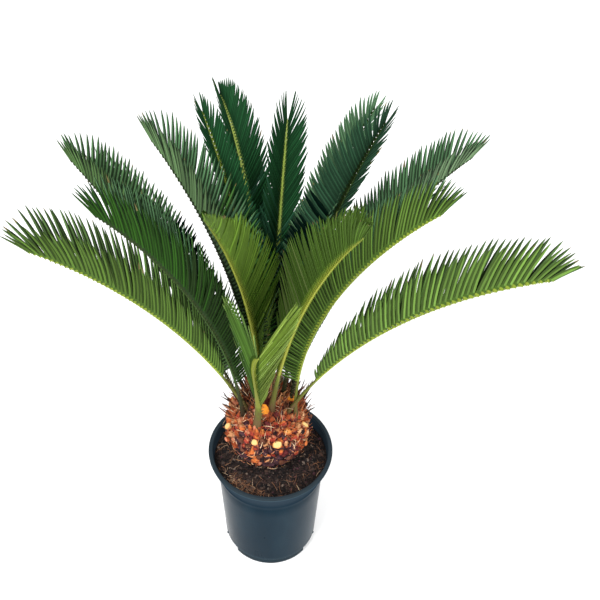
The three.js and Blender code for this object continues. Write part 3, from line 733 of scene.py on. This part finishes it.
def blob(b, centre, axes, sizes, mats, r, taper=0.0, rough=0.08, segs=8, stations=(0.0, 0.3, 0.65, 1.0), cap=None, bend=0.0):
    """A woody wedge from centre along axes[2]: axes[0] is its width, axes[1] its thickness."""
    X, Y, Z = axes
    w, th, ln = sizes
    rings = []
    for s in stations:
        kw = 1 - taper * s ** 1.6
        off = Y * bend * ln * s * s
        ring = []
        for q in range(segs):
            a = 2 * math.pi * q / segs
            ca, sa = math.cos(a), math.sin(a)
            # squarish ellipse
            e = 1.0 / max(abs(ca) ** 1.0, abs(sa) ** 1.0) ** 0.35
            jit = 1 + r.normal(0, rough)
            ring.append(centre + off + Z * (ln * s + r.normal(0, rough * 1.5)) + X * (w / 2 * kw * ca * e * jit) + Y * (th / 2 * kw * sa * e * jit))
        rings.append(ring)
    v, f, where = tube(rings)
    a = np.asarray(rings[0])
    c = a.mean(0)
    area = sum(np.cross(a[q] - c, a[(q + 1) % segs] - c) for q in range(segs))
    if np.dot(area, Z) < 0:
        f = [tuple(reversed(x)) for x in f]
    last = len(stations) - 1
    m = []
    for ring_i, side in where:
        if side == -1 and ring_i == last and cap:
            m.append(cap)
        else:
            m.append(mats[min(len(mats) - 1, ring_i * len(mats) // max(1, last))])
    b.add(v, f, m)


def leaf_scale(b, p, n, up, w, ln, th, lean, mats, r, point=0.85):
    """A pointed, keeled scale that leaves the surface along up and leans out by lean (degrees)."""
    side = unit(np.cross(up, n))
    st = [0.0, 0.18, 0.42, 0.66, 0.86]
    width = [0.85, 1.0, 0.86, 0.56, 0.24]
    rings = []
    c = p - n * 2.0
    twist = r.normal(0, 6)
    for i, s in enumerate(st):
        a = math.radians(lean * (0.35 + 0.9 * s) + twist * 0.2)
        d = up * math.cos(a) + n * math.sin(a)
        nn = n * math.cos(a) - up * math.sin(a)
        if i:
            c = c + d * ln * (s - st[i - 1])
        hw = w / 2 * width[i] * (1 + r.normal(0, 0.06))
        t = th * (1 - 0.6 * s)
        rings.append([c + side * hw - nn * t * 0.15, c + side * hw * 0.45 + nn * t * 0.55, c + nn * t * 0.8, c - side * hw * 0.45 + nn * t * 0.55,
                      c - side * hw - nn * t * 0.15, c - nn * t * 0.5])
    tip = c + d * ln * (1.0 - st[-1]) + side * r.normal(0, w * 0.06)
    v, f, where = tube(rings, tip=tip)
    a = np.asarray(rings[0])
    cc = a.mean(0)
    area = sum(np.cross(a[q] - cc, a[(q + 1) % 6] - cc) for q in range(6))
    if np.dot(area, up) < 0:
        f = [tuple(reversed(x)) for x in f]
    m = [mats[min(len(mats) - 1, x[0] * len(mats) // 5)] for x in where]
    b.add(v, f, m)


def strand(b, pts, half, mat):
    """A thin fibre along points: a three-sided tapering tube."""
    pts = np.asarray(pts, float)
    rings = []
    for i, p in enumerate(pts[:-1]):
        d = unit(pts[i + 1] - p)
        x = np.cross(d, [0, 0, 1.0])
        if np.linalg.norm(x) < 1e-3:
            x = np.cross(d, [0, 1.0, 0])
        x = unit(x)
        y = np.cross(d, x)
        h = half * (1 - 0.6 * i / len(pts))
        rings.append([p + (x * math.cos(a) + y * math.sin(a)) * h for a in (0, 2.094, 4.189)])
    v, f, _ = tube(rings, tip=pts[-1])
    b.add(v, f, mat)


# the photograph's camera, which also places the marks seen on the trunk
CAM_POS = np.array([0.0, -905.0, 1421.0])
CAM_PITCH = math.radians(46.47)
CAM_F, CAM_CX, CAM_CY = 1157.7, 270.5, 300.0


def pixel_ray(x, y):
    fwd = np.array([0, math.cos(CAM_PITCH), -math.sin(CAM_PITCH)])
    up = np.array([0, math.sin(CAM_PITCH), math.cos(CAM_PITCH)])
    return unit(fwd + np.array([1.0, 0, 0]) * (x - CAM_CX) / CAM_F - up * (y - CAM_CY) / CAM_F)


def on_ball(x, y):
    """Height above the trunk's foot and angle of the surface point under a picture point."""
    d = pixel_ray(x, y)
    c = np.array([TRUNK_X, TRUNK_Y, SOIL_TOP_Z])
    best = None
    for t in np.linspace(1250, 1650, 1600):
        q = CAM_POS + d * t - c
        r = math.hypot(q[0], q[1])
        if 0 <= q[2] <= 99 and r <= np.interp(q[2], BALL[:, 0], BALL[:, 1]) * BALL_SCALE:
            best = q
            break
    if best is None:
        return None
    return best[2], math.atan2(best[1], best[0])


def trunk_palette(z, r):
    """Colours by height on the trunk: rust above, purple-brown near the soil."""
    if z < 34:
        return r.choice(["bark_purple", "bark_dark", "bark_brown", "bark_purple", "bark_wine", "bark_brown"])
    if z < 46:
        return r.choice(["bark_purple", "bark_brown", "bark_rust", "bark_red", "bark_wine", "bark_dark", "bark_tan"])
    return r.choice(["bark_rust", "bark_red", "bark_orange", "bark_wine", "bark_brown", "bark_tan", "bark_pink", "bark_dark", "bark_purple"])


def make_trunk():
    r = np.random.default_rng(11)
    core = make_core()
    scales = Batch("trunk_scales")
    stubs = Batch("trunk_stubs")
    # placing by equal area, on a golden-angle spiral
    zg = np.linspace(2, 97, 300)
    rad = np.interp(zg, BALL[:, 0], BALL[:, 1])
    slope = np.gradient(rad, zg)
    cum = np.cumsum(rad * np.sqrt(1 + slope ** 2))
    cum /= cum[-1]
    count = 150
    marks = [(230.8, 426.0, (8.5, 11.5), "cut_cream"), (255.4, 441.5, (8.5, 9.0), "cut_cream"), (276.8, 443.8, (12.5, 10.5), "cut_cream"), (302.6, 425.0, (5.5, 12.0), "cut_cream"),
             (263.5, 411.5, (17.0, 17.0), "cut_amber"), (290.0, 401.0, (10.0, 15.0), "cut_amber")]
    spots = []
    for x, y, size, mat in marks:
        hit = on_ball(x, y)
        if hit:
            spots.append((*hit, size, mat))
    placed = [ball_point(z, a)[0] for z, a, _, _ in spots]
    for z, a, size, mat in spots:
        p, n, up = ball_point(z, a)
        d = unit(n * 0.7 + up * 0.2 + unit(CAM_POS - p) * 0.55)
        side = unit(np.cross(up, n))
        y = np.cross(d, side)
        if mat != "cut_cream":
            blob(stubs, p - d * 2, (side, y, d), (size[0] * 1.1, size[1] * 1.05, 15.0), ["bark_rust", mat, mat], r, taper=0.4, rough=0.13, segs=10, stations=(0.0, 0.4, 0.75, 0.92, 1.0), cap=mat)
            continue
        blob(stubs, p - d * 4, (side, y, d), (size[0], size[1] * 0.9, 11.0), ["bark_brown", "bark_rust", "bark_tan"], r, taper=0.06, rough=0.09, segs=12, cap="cut_rim")
        c = p + d * 7.0
        blob(stubs, c, (side, y, d), (size[0] * 0.8, size[1] * 0.72, 0.9), [mat], r, taper=0.05, rough=0.1, segs=12, stations=(0.0, 1.0), cap=mat)
    for i in range(count):
        z = float(np.interp((i + 0.5) / count, cum, zg))
        a = i * math.radians(137.508) + r.normal(0, 0.05)
        p, n, up = ball_point(z, a)
        near = min([np.linalg.norm(p - q) for q in placed] or [99])
        if near < 8.5:
            continue
        side = unit(np.cross(up, n))
        kind = r.random()
        p = p + n * 2.0
        if kind < 0.14 and 34 < z < 90:
            size = r.uniform(6, 9)
            d = unit(n * 0.8 + up * r.uniform(0.3, 0.8) + side * r.normal(0, 0.15))
            y = np.cross(d, side)
            ln = r.uniform(7, 11)
            cap = r.choice(["bark_tan", "bark_brown", "cut_rim", "bark_orange", "bark_dark", "bark_pink"])
            blob(stubs, p - d * 3.5, (unit(np.cross(y, d)), y, d), (size, size * r.uniform(0.6, 0.85), ln), [trunk_palette(z, r), trunk_palette(z, r)], r,
                 taper=0.18, rough=0.09, segs=9, cap=cap)
        else:
            w = r.uniform(3.5, 8.5)
            ln = r.uniform(7, 16) * (1.0 if z > 18 else 0.8)
            lean = r.uniform(5, 60)
            base, mid = trunk_palette(z, r), trunk_palette(z, r)
            tipm = r.choice(["bark_tan", "bark_orange", "bark_dark", "bark_rust", "bark_pink", mid], p=[0.12, 0.14, 0.22, 0.2, 0.07, 0.25] if z > 34 else [0.06, 0.03, 0.35, 0.08, 0.03, 0.45])
            roll = r.normal(0, 0.7)
            up2 = unit(up * math.cos(roll) + side * math.sin(roll))
            if z > 70 and a % 6.2832 > 3.3:
                continue
            leaf_scale(scales, p, n, up2, w, ln, r.uniform(1.2, 2.6), lean, [base, mid, tipm], r)
    # scales that clasp the stalks where they leave the front of the trunk
    for x, y, k, lean in ((250.5, 430, 0, 42), (254.5, 430.5, 1, 44), (258.5, 430, 2, 42), (252.5, 434, 3, 36), (257, 434, 0, 36), (237, 418, 3, 12), (299, 418, 1, 12), (303, 416, 2, 12)):
        hit = on_ball(x, y)
        if not hit:
            continue
        p, n, up = ball_point(*hit)
        side = unit(np.cross(up, n))
        up2 = unit(up + side * r.normal(0, 0.15))
        leaf_scale(scales, p + n * (5.0 if lean > 30 else 2.5), n, up2, r.uniform(6, 8), r.uniform(12, 15), r.uniform(2.4, 3.4), lean,
                   [["bark_rust", "bark_orange", "bark_tan"], ["bark_red", "bark_pink", "bark_tan"], ["bark_brown", "bark_rust", "bark_orange"], ["bark_red", "bark_rust", "bark_pink"]][k], r)
    # torn fibres and pale threads between the scales
    fib = Batch("trunk_fibres")
    for i in range(300):
        z = float(np.interp(r.random(), cum, zg))
        a = r.uniform(0, 2 * math.pi)
        p, n, up = ball_point(z, a)
        side = unit(np.cross(up, n))
        d = unit(up * r.normal(0.6, 0.5) + side * r.normal(0, 0.6) + n * 0.25)
        ln = r.uniform(4, 13)
        c = p + n * r.uniform(2.0, 6.0)
        pts = []
        bend = side * r.normal(0, 0.5) - n * 0.4
        for s in np.linspace(0, 1, 5):
            pts.append(c + d * ln * s + bend * ln * 0.35 * s * s)
        mat = r.choice(["wool_pale", "wool_rust", "bark_tan", "bark_dark", "bark_pink"], p=[0.1, 0.25, 0.22, 0.33, 0.1])
        strand(fib, pts, r.uniform(0.2, 0.42), mat)
    for i in range(110):
        x, y = r.uniform(228, 306), r.uniform(408, 458)
        hit = on_ball(x, y)
        if not hit or min(abs(x - mx) + abs(y - my) for mx, my, _, _ in marks) < 8:
            continue
        p, n, up = ball_point(*hit)
        side = unit(np.cross(up, n))
        d = unit(up + side * r.normal(0, 0.7))
        ln = r.uniform(4, 11)
        c = p + n * r.uniform(4.0, 6.5)
        bend = side * r.normal(0, 0.6) - n * 0.5
        strand(fib, [c + d * ln * q + bend * ln * 0.35 * q * q for q in np.linspace(0, 1, 5)], r.uniform(0.25, 0.5),
               r.choice(["wool_pale", "cut_soft", "bark_pink", "bark_tan", "bark_dark"], p=[0.2, 0.15, 0.2, 0.15, 0.3]))
    # pointed bracts round and between the stalks
    crown = Batch("crown_bracts")
    for i in range(230):
        rr = 48 * math.sqrt((i + 0.5) / 230)
        a = i * math.radians(137.508) + r.normal(0, 0.1)
        zr = float(np.interp(rr, (BALL[::-1, 1] * BALL_SCALE)[0:6], BALL[::-1, 0][0:6]))
        out = np.array([math.cos(a), math.sin(a), 0.0])
        p = np.array([TRUNK_X, TRUNK_Y, SOIL_TOP_Z + zr - 3]) + out * rr
        px, py = (float(q[0]) for q in to_picture(p[None, :]))
        if out[1] < 0.2 and (py > 409 and 236 < px < 302 or py > 402 and 258 < px < 272 or any(abs(px - mx) < 7 and -3 < py - my < 16 for mx, my, _, _ in marks[4:])):
            continue
        tilt = math.radians(6 + 34 * (rr / 50) ** 1.3 + r.normal(0, 6))
        up = unit(np.array([0, 0, 1.0]) * math.cos(tilt) + out * math.sin(tilt))
        n = unit(out * math.cos(tilt) - np.array([0, 0, 1.0]) * math.sin(tilt))
        ln = r.uniform(20, 38) * (1.0 - 0.25 * (rr / 50))
        base = r.choice(["bark_rust", "cata_brown", "bark_red", "bark_tan", "bark_orange"], p=[0.18, 0.44, 0.08, 0.25, 0.05])
        at_side = out[1] < 0.35 and (px < 243 or px > 288)
        if at_side and r.random() < 0.5:
            continue
        edge_dark = rr > 38 or at_side
        if at_side:
            base = r.choice(["cata_brown", "cata_dark", "bark_rust"], p=[0.35, 0.55, 0.1])
        mid = r.choice(["cata_brown", "bark_rust", "cata_dark", "bark_tan"], p=[0.26, 0.05, 0.64, 0.05] if edge_dark else [0.26, 0.1, 0.42, 0.22])
        tipm = r.choice(["cata_dark", "cata_brown", "bark_tan"], p=[0.8, 0.18, 0.02] if edge_dark else [0.55, 0.25, 0.2])
        if out[1] < 0.2 and 262 < px < 300:
            base = r.choice(["bark_tan", "bark_orange", "cata_dark"], p=[0.45, 0.2, 0.35])
            mid = r.choice(["bark_tan", "cata_dark", "bark_rust"], p=[0.35, 0.5, 0.15])
        leaf_scale(crown, p, n, up, r.uniform(2.2, 4.6), ln, r.uniform(1.0, 1.8), r.uniform(0, 10), [base, mid, tipm], r)
    # long dark points that stand out at the sides, seen against the light
    for (x0, y0, x1, y1) in [(232, 408, 222, 391), (233, 410, 227, 397), (228, 416, 217, 407), (303, 403, 310, 390), (305, 409, 312, 398), (307, 413, 312.5, 404),
                             (300, 396, 306, 379), (240, 400, 236, 384), (243, 402, 244, 386)]:
        c = np.array([TRUNK_X, TRUNK_Y, SOIL_TOP_Z + 78.0])
        def plane_point(x, y):
            d = pixel_ray(x, y)
            t = (c[1] - CAM_POS[1]) / d[1]
            return CAM_POS + d * t
        q0, q1 = plane_point(x0, y0), plane_point(x1, y1)
        d = unit(q1 - q0)
        out = unit(np.array([q0[0] - c[0], -6.0, 0]))
        n = unit(out - d * np.dot(out, d))
        leaf_scale(crown, q0 - d * 5, n, d, 3.4, float(np.linalg.norm(q1 - q0)) + 6, 1.6, 2, ["cata_brown", "cata_dark", "cata_dark"], r)
    # wool in the crown
    wool = Batch("crown_wool")
    for i in range(420):
        rr = 46 * math.sqrt(r.random())
        a = r.uniform(0, 2 * math.pi)
        zr = float(np.interp(rr, (BALL[::-1, 1] * BALL_SCALE)[0:6], BALL[::-1, 0][0:6]))
        out = np.array([math.cos(a), math.sin(a), 0.0])
        p = np.array([TRUNK_X, TRUNK_Y, SOIL_TOP_Z + zr - 1]) + out * rr
        d = unit(np.array([r.normal(0, 0.35), r.normal(0, 0.35), 1.0]) + out * 0.5 * rr / 46)
        ln = r.uniform(10, 30)
        side = unit(np.cross(d, [0.3, 0.7, 0.1]))
        k = r.normal(0, 0.5)
        pts = [p + d * ln * s + side * k * ln * 0.3 * s * s for s in np.linspace(0, 1, 5)]
        strand(wool, pts, r.uniform(0.3, 0.7), r.choice(["wool_pale", "wool_rust", "bark_tan", "cata_brown", "bark_rust"], p=[0.06, 0.2, 0.14, 0.4, 0.2]))
    for o in (core, scales.object(40), stubs.object(40), fib.object(0), crown.object(40), wool.object(0)):
        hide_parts("trunk")
        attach(o, "root")


make_trunk()


# ------------------------------------------------------------------ soil
def soil_height(x, y):
    rr = math.hypot(x, y)
    base = np.interp(rr, [0, 41, 56, 73], [SOIL_TOP_Z - 0.5, SOIL_TOP_Z - 0.5, SOIL_EDGE_Z + 3.5, SOIL_EDGE_Z])
    q = Vector((x * 0.035, y * 0.035, 3.0))
    return base + 2.6 * noise.noise(q) + 1.5 * noise.noise(q * 3.1) + 0.9 * noise.noise(q * 8.0)


def make_soil():
    r = np.random.default_rng(5)
    MATS["soil_bed"] = ramp_material("soil_bed", [(0.3, lin(14, 11, 12)), (0.5, lin(30, 23, 22)), (0.62, lin(50, 39, 35)), (0.75, lin(26, 20, 19))], 160, 0.95, 0.2,
                                     bump=(420, 1.0, 0.004))
    bed = Batch("soil_bed")
    inner = lambda z: np.interp(z, [14.5, 146, 154, 162, 170], [60.1, 67.3, 69.2, 71.9, 74.9]) - 0.6
    k = 120
    rings = []
    for rr in [1, 8, 16, 24, 31, 37, 42, 46, 50, 53, 56, 59, 62, 65, 67.5, 70, 72, inner(169)]:
        rings.append([np.array([rr * math.cos(a), rr * math.sin(a), soil_height(rr * math.cos(a), rr * math.sin(a))]) for a in np.linspace(0, 2 * math.pi, k, endpoint=False)])
    for z, rr in [(z, inner(z)) for z in (160, 150, 100, 40, 16)] + [(14.4, POT_FOOT_INNER - 0.6), (3.5, POT_FOOT_INNER - 0.6)]:
        rings.append([np.array([rr * math.cos(a), rr * math.sin(a), z]) for a in np.linspace(0, 2 * math.pi, k, endpoint=False)])
    v, f, _ = tube(rings)
    f = [tuple(reversed(x)) for x in f]
    bed.add(v, f, "soil_bed")
    crumbs = Batch("soil_crumbs")
    ico = [np.array(p, float) for p in [(0, -1, 1.618), (0, 1, 1.618), (0, -1, -1.618), (0, 1, -1.618), (-1, 1.618, 0), (1, 1.618, 0), (-1, -1.618, 0), (1, -1.618, 0),
                                         (1.618, 0, 1), (1.618, 0, -1), (-1.618, 0, 1), (-1.618, 0, -1)]]
    icof = [(0, 8, 1), (0, 1, 10), (0, 10, 6), (0, 6, 7), (0, 7, 8), (1, 8, 5), (1, 5, 4), (1, 4, 10), (8, 7, 9), (8, 9, 5), (7, 6, 2), (7, 2, 9), (6, 10, 11), (6, 11, 2),
            (10, 4, 11), (3, 2, 11), (3, 9, 2), (3, 5, 9), (3, 4, 5), (3, 11, 4)]
    for i in range(3000):
        rr = 72.8 * math.sqrt(r.uniform(0.12, 1))
        a = r.uniform(0, 2 * math.pi)
        s = r.uniform(0.5, 1.5) if r.random() < 0.8 else r.uniform(1.5, 2.8)
        rr = min(rr, 73.0 - s)
        x, y = rr * math.cos(a), rr * math.sin(a)
        z = soil_height(x, y) + s * 0.25
        rot = Matrix.Rotation(r.uniform(0, 6.28), 3, "Z") @ Matrix.Rotation(r.uniform(0, 6.28), 3, "X")
        R = np.array(rot)
        sc = np.array([r.uniform(0.6, 1.3), r.uniform(0.6, 1.3), r.uniform(0.45, 0.9)])
        vv = np.array([(R @ (p / 1.9 * sc * s * (1 + r.normal(0, 0.12)))) + [x, y, z] for p in ico])
        mat = r.choice(["soil_black", "soil_brown", "soil_mid", "soil_pale", "coir_dark", "bark_purple"], p=[0.32, 0.33, 0.16, 0.05, 0.09, 0.05])
        crumbs.add(vv, icof, mat)
    fibres = Batch("soil_fibres")
    for i in range(520):
        front = r.random() < 0.35
        if front:   # the matted patch at the front left
            a = math.radians(r.normal(-124, 13))
            rr = r.uniform(56, 70)
        else:
            a = r.uniform(0, 2 * math.pi)
            rr = 72 * math.sqrt(r.uniform(0.35, 1))
        x, y = rr * math.cos(a), rr * math.sin(a)
        th = r.uniform(0, 2 * math.pi)
        ln = r.uniform(5, 17)
        k = r.normal(0, 0.05)
        pts = []
        for s in np.linspace(0, 1, 6):
            hx, hy = x + math.cos(th) * ln * (s - 0.5), y + math.sin(th) * ln * (s - 0.5)
            q = math.hypot(hx, hy)
            if q > 72.5:
                hx, hy = hx * 72.5 / q, hy * 72.5 / q
            pts.append(np.array([hx, hy, soil_height(hx, hy) + 1.1 + 1.6 * math.sin(math.pi * s) * r.uniform(0.2, 1)]))
            th += k * ln * 0.2
        mat = r.choice(["coir_rust", "coir_tan", "coir_dark", "wool_pale"], p=[0.4, 0.1, 0.48, 0.02] if front else [0.24, 0.06, 0.67, 0.03])
        strand(fibres, pts, r.uniform(0.25, 0.55), mat)
    for o in (bed.object(60), crumbs.object(0), fibres.object(0)):
        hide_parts("soil")
        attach(o, "root")


make_soil()


# ------------------------------------------------------------------ pot
def make_pot():
    w, H, R = POT_WALL, POT_HEIGHT, POT_TOP_RADIUS
    it = R - POT_RIM_WIDTH

    def arc(cx, cz, rad, a0, a1, n=5):
        return [(cx + rad * math.cos(math.radians(a)), cz + rad * math.sin(math.radians(a))) for a in np.linspace(a0, a1, n)]
    foot_z = POT_BODY_FOOT_Z
    prof = [(0.01, 0.6), (40, 0.6), (56, 0.5), (58.6, 0.0)]
    prof += arc(POT_FOOT_RADIUS - 1.2, 1.2, 1.2, -90, 0)
    prof += [(POT_FOOT_RADIUS, 5.0), (POT_FOOT_RADIUS - 0.1, foot_z - 2.6), (POT_FOOT_RADIUS - 0.3, foot_z - 1.8), (POT_FOOT_RADIUS - 0.1, foot_z - 1.2)]
    prof += arc(POT_BODY_FOOT_RADIUS - 1.4, foot_z + 0.2, 1.4, -80, 5)
    body = [(POT_BODY_FOOT_RADIUS, foot_z + 1.6), (69.2, H - 44)]
    n = 14
    prof += [(body[0][0] + (body[1][0] - body[0][0]) * i / n, body[0][1] + (body[1][1] - body[0][1]) * i / n) for i in range(n)]
    # the flare under the rim, as a smooth curve through its points
    drops = np.array([44.0] + [d for d, _ in POT_FLARE] + [3.4])
    radii = np.array([69.2] + [q for _, q in POT_FLARE] + [81.2])
    dd = np.linspace(44.0, 3.4, 22)
    rr = np.interp(dd, drops[::-1], radii[::-1])
    rr[1:-1] = (rr[:-2] + 2 * rr[1:-1] + rr[2:]) / 4
    prof += [(float(q), H - float(d)) for d, q in zip(dd, rr)]
    prof += arc(R - 2.2, H - 2.3, 2.25, 12, 84, 7)
    prof += [(R - 3.2, H - 0.25), (it + 1.6, H - 0.35)]
    prof += arc(it + 1.2, H - 1.6, 1.2, 95, 178, 6)
    prof += [(it - 0.35, H - 9), (74.9, H - 17), (71.9, H - 25), (69.2, H - 33), (67.3, H - 41), (60.1, foot_z + 3), (POT_FOOT_INNER, foot_z + 2),
             (POT_FOOT_INNER, 3), (0.01, 3)]
    k = 160
    rings = [[np.array([r_ * math.cos(a), r_ * math.sin(a), z]) for a in np.linspace(0, 2 * math.pi, k, endpoint=False)] for r_, z in prof]
    v, f, _ = tube(rings)
    b = Batch("pot_shell")
    stops = [(0.30, lin(9, 28, 39)), (0.48, lin(11, 32, 44)), (0.60, lin(15, 36, 48)), (0.74, lin(23, 43, 54))]
    MATS["pot_plastic"] = ramp_material("pot_plastic", stops, 22, 0.3, 0.03, detail=8, stretch=(1, 1, 0.35), bump=(700, 0.1, 0.0005), rough_range=(0.22, 0.36))
    m = MATS["pot_plastic"]
    nt = m.node_tree
    xyz = nt.nodes.new("ShaderNodeSeparateXYZ")
    nt.links.new(nt.nodes.new("ShaderNodeTexCoord").outputs["Object"], xyz.inputs[0])
    mr = nt.nodes.new("ShaderNodeMapRange")
    mr.inputs["From Min"].default_value, mr.inputs["From Max"].default_value = (POT_HEIGHT - 62) * MM, (POT_HEIGHT - 34) * MM
    mr.inputs["To Min"].default_value, mr.inputs["To Max"].default_value = 0.035, 0.0
    nt.links.new(xyz.outputs["Z"], mr.inputs["Value"])
    nt.links.new(mr.outputs["Result"], nt.nodes["Principled BSDF"].inputs["Specular IOR Level"])
    # the body's lower edge is painted a little paler, a painted highlight on its rounded edge, and the foot ring is a
    # little paler too (a negative softness blends downwards)
    darken_above(m, (POT_BODY_FOOT_Z + 4.5) * MM, lin(29, 46, 56), -0.0015)
    darken_above(m, (POT_BODY_FOOT_Z - 0.8) * MM, lin(27, 41, 49), -0.0004)
    # the flare under the rim is painted greyer and paler, a painted reflection in place of the specular that fades out
    # there
    darken_above(m, (POT_HEIGHT - 33) * MM, lin(38, 50, 60), 0.011)
    darken_above(m, (POT_HEIGHT - 19) * MM, lin(42, 54, 64), 0.005)
    # a thin paler band on the rim's rolled outer edge: a painted highlight
    darken_above(m, (POT_HEIGHT - 4.4) * MM, lin(58, 76, 86), 0.0003)
    darken_above(m, (POT_HEIGHT - 3.1) * MM, lin(40, 49, 55), 0.0003)
    mr = nt.nodes.new("ShaderNodeMapRange")
    mr.inputs["From Min"].default_value, mr.inputs["From Max"].default_value = (POT_HEIGHT - 62) * MM, (POT_HEIGHT - 34) * MM
    mr.inputs["To Min"].default_value, mr.inputs["To Max"].default_value = 0.14, 0.0
    nt.links.new(xyz.outputs["Z"], mr.inputs["Value"])
    nt.links.new(mr.outputs["Result"], nt.nodes["Principled BSDF"].inputs["Sheen Weight"])
    nt.nodes["Principled BSDF"].inputs["Sheen Roughness"].default_value = 0.25
    b.add(v, f, "pot_plastic")
    pot = b.object(35)
    # three notches in the foot
    cut = Batch("cutter")
    for az in FOOT_NOTCH_AZ:
        a = math.radians(az)
        ex, ey = np.array([math.cos(a), math.sin(a), 0]), np.array([-math.sin(a), math.cos(a), 0])
        c = []
        for z in (-2.0, 9.0):
            for dx, dy in ((54.8, -16), (70, -16), (70, 16), (54.8, 16)):
                c.append(ex * dx + ey * dy + np.array([0, 0, z]))
        cut.add(np.array(c), [(3, 2, 1, 0), (4, 5, 6, 7), (0, 1, 5, 4), (1, 2, 6, 5), (2, 3, 7, 6), (3, 0, 4, 7)], "pot_plastic")
    co = cut.object(0)
    mod = pot.modifiers.new("notch", "BOOLEAN")
    mod.operation, mod.object, mod.solver = "DIFFERENCE", co, "EXACT"
    bpy.context.view_layer.update()
    dg = bpy.context.evaluated_depsgraph_get()
    me = bpy.data.meshes.new_from_object(pot.evaluated_get(dg))
    pot.modifiers.clear()
    old = pot.data
    pot.data = me
    me.materials.clear()
    me.materials.append(M("pot_plastic"))
    me.polygons.foreach_set("material_index", [0] * len(me.polygons))
    me.shade_smooth()
    me.set_sharp_from_angle(angle=math.radians(35))
    bpy.data.meshes.remove(old)
    bpy.data.objects.remove(co)
    # two small moulding nubs at the body's lower edge
    nubs = Batch("pot_nubs")
    for az in (197.0, -17.0):
        a = math.radians(az)
        ex, ey, ez = np.array([math.cos(a), math.sin(a), 0]), np.array([-math.sin(a), math.cos(a), 0]), np.array([0, 0, 1.0])
        c = ex * (POT_BODY_FOOT_RADIUS - 0.6) + ez * (POT_BODY_FOOT_Z + 1.0)
        rings = [[c + ex * u + (ey * math.cos(q) * 2.0 + ez * math.sin(q) * 1.5) * k for q in np.linspace(0, 2 * math.pi, 10, endpoint=False)] for u, k in ((-0.6, 1.0), (0.8, 0.95), (1.5, 0.7))]
        v, f, _ = tube(rings, tip=c + ex * 1.8)
        nubs.add(v, f, "pot_plastic")
    for o in (pot, nubs.object(50)):
        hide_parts("pot")
        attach(o, "root")


make_pot()


# ------------------------------------------------------------------ floor, light and camera
def make_stage():
    me = bpy.data.meshes.new("floor")
    s = 12.0
    me.from_pydata([(-s, -s, 0), (s, -s, 0), (s, s, 0), (-s, s, 0)], [], [(0, 1, 2, 3)])
    floor = bpy.data.objects.new("floor", me)
    bpy.context.scene.collection.objects.link(floor)
    m, nt, b = base_material("floor_pale", (0.93, 0.93, 0.93, 1), 0.9, 0.0)
    me.materials.append(m)
    world = bpy.data.worlds.new("studio")
    world.use_nodes = True
    bg = world.node_tree.nodes["Background"]
    bg.inputs["Color"].default_value = (1.0, 1.0, 1.0, 1)
    bg.inputs["Strength"].default_value = 0.95
    bpy.context.scene.world = world

    def area(name, loc, target, size, power, colour=(1, 1, 1)):
        d = bpy.data.lights.new(name, "AREA")
        d.shape, d.size, d.energy, d.color = "DISK", size, power, colour
        o = bpy.data.objects.new(name, d)
        o.location = loc
        o.rotation_mode = "QUATERNION"
        o.rotation_quaternion = (Vector(target) - Vector(loc)).to_track_quat("-Z", "Y")
        bpy.context.scene.collection.objects.link(o)
    area("key", (-0.9, -1.1, 2.3), (0, 0, 0.35), 1.0, 46)
    area("front", (0.5, -1.9, 1.5), (0, 0, 0.35), 1.4, 34)
    area("rim", (0.8, 2.0, 1.8), (0, 0, 0.3), 1.2, 12)

    cam = bpy.data.cameras.new("camera")
    co = bpy.data.objects.new("camera", cam)
    bpy.context.scene.collection.objects.link(co)
    cam.sensor_width = 36.0
    cam.lens = CAM_F / 600.0 * 36.0
    cam.shift_x = (300.0 - CAM_CX) / 600.0
    cam.shift_y = 0.0
    cam.clip_start, cam.clip_end = 0.05, 60
    co.location = Vector(CAM_POS * MM)
    co.rotation_euler = (math.radians(90) - CAM_PITCH, 0, 0)
    bpy.context.scene.camera = co
    bpy.context.scene.view_settings.view_transform = "Standard"


make_stage()
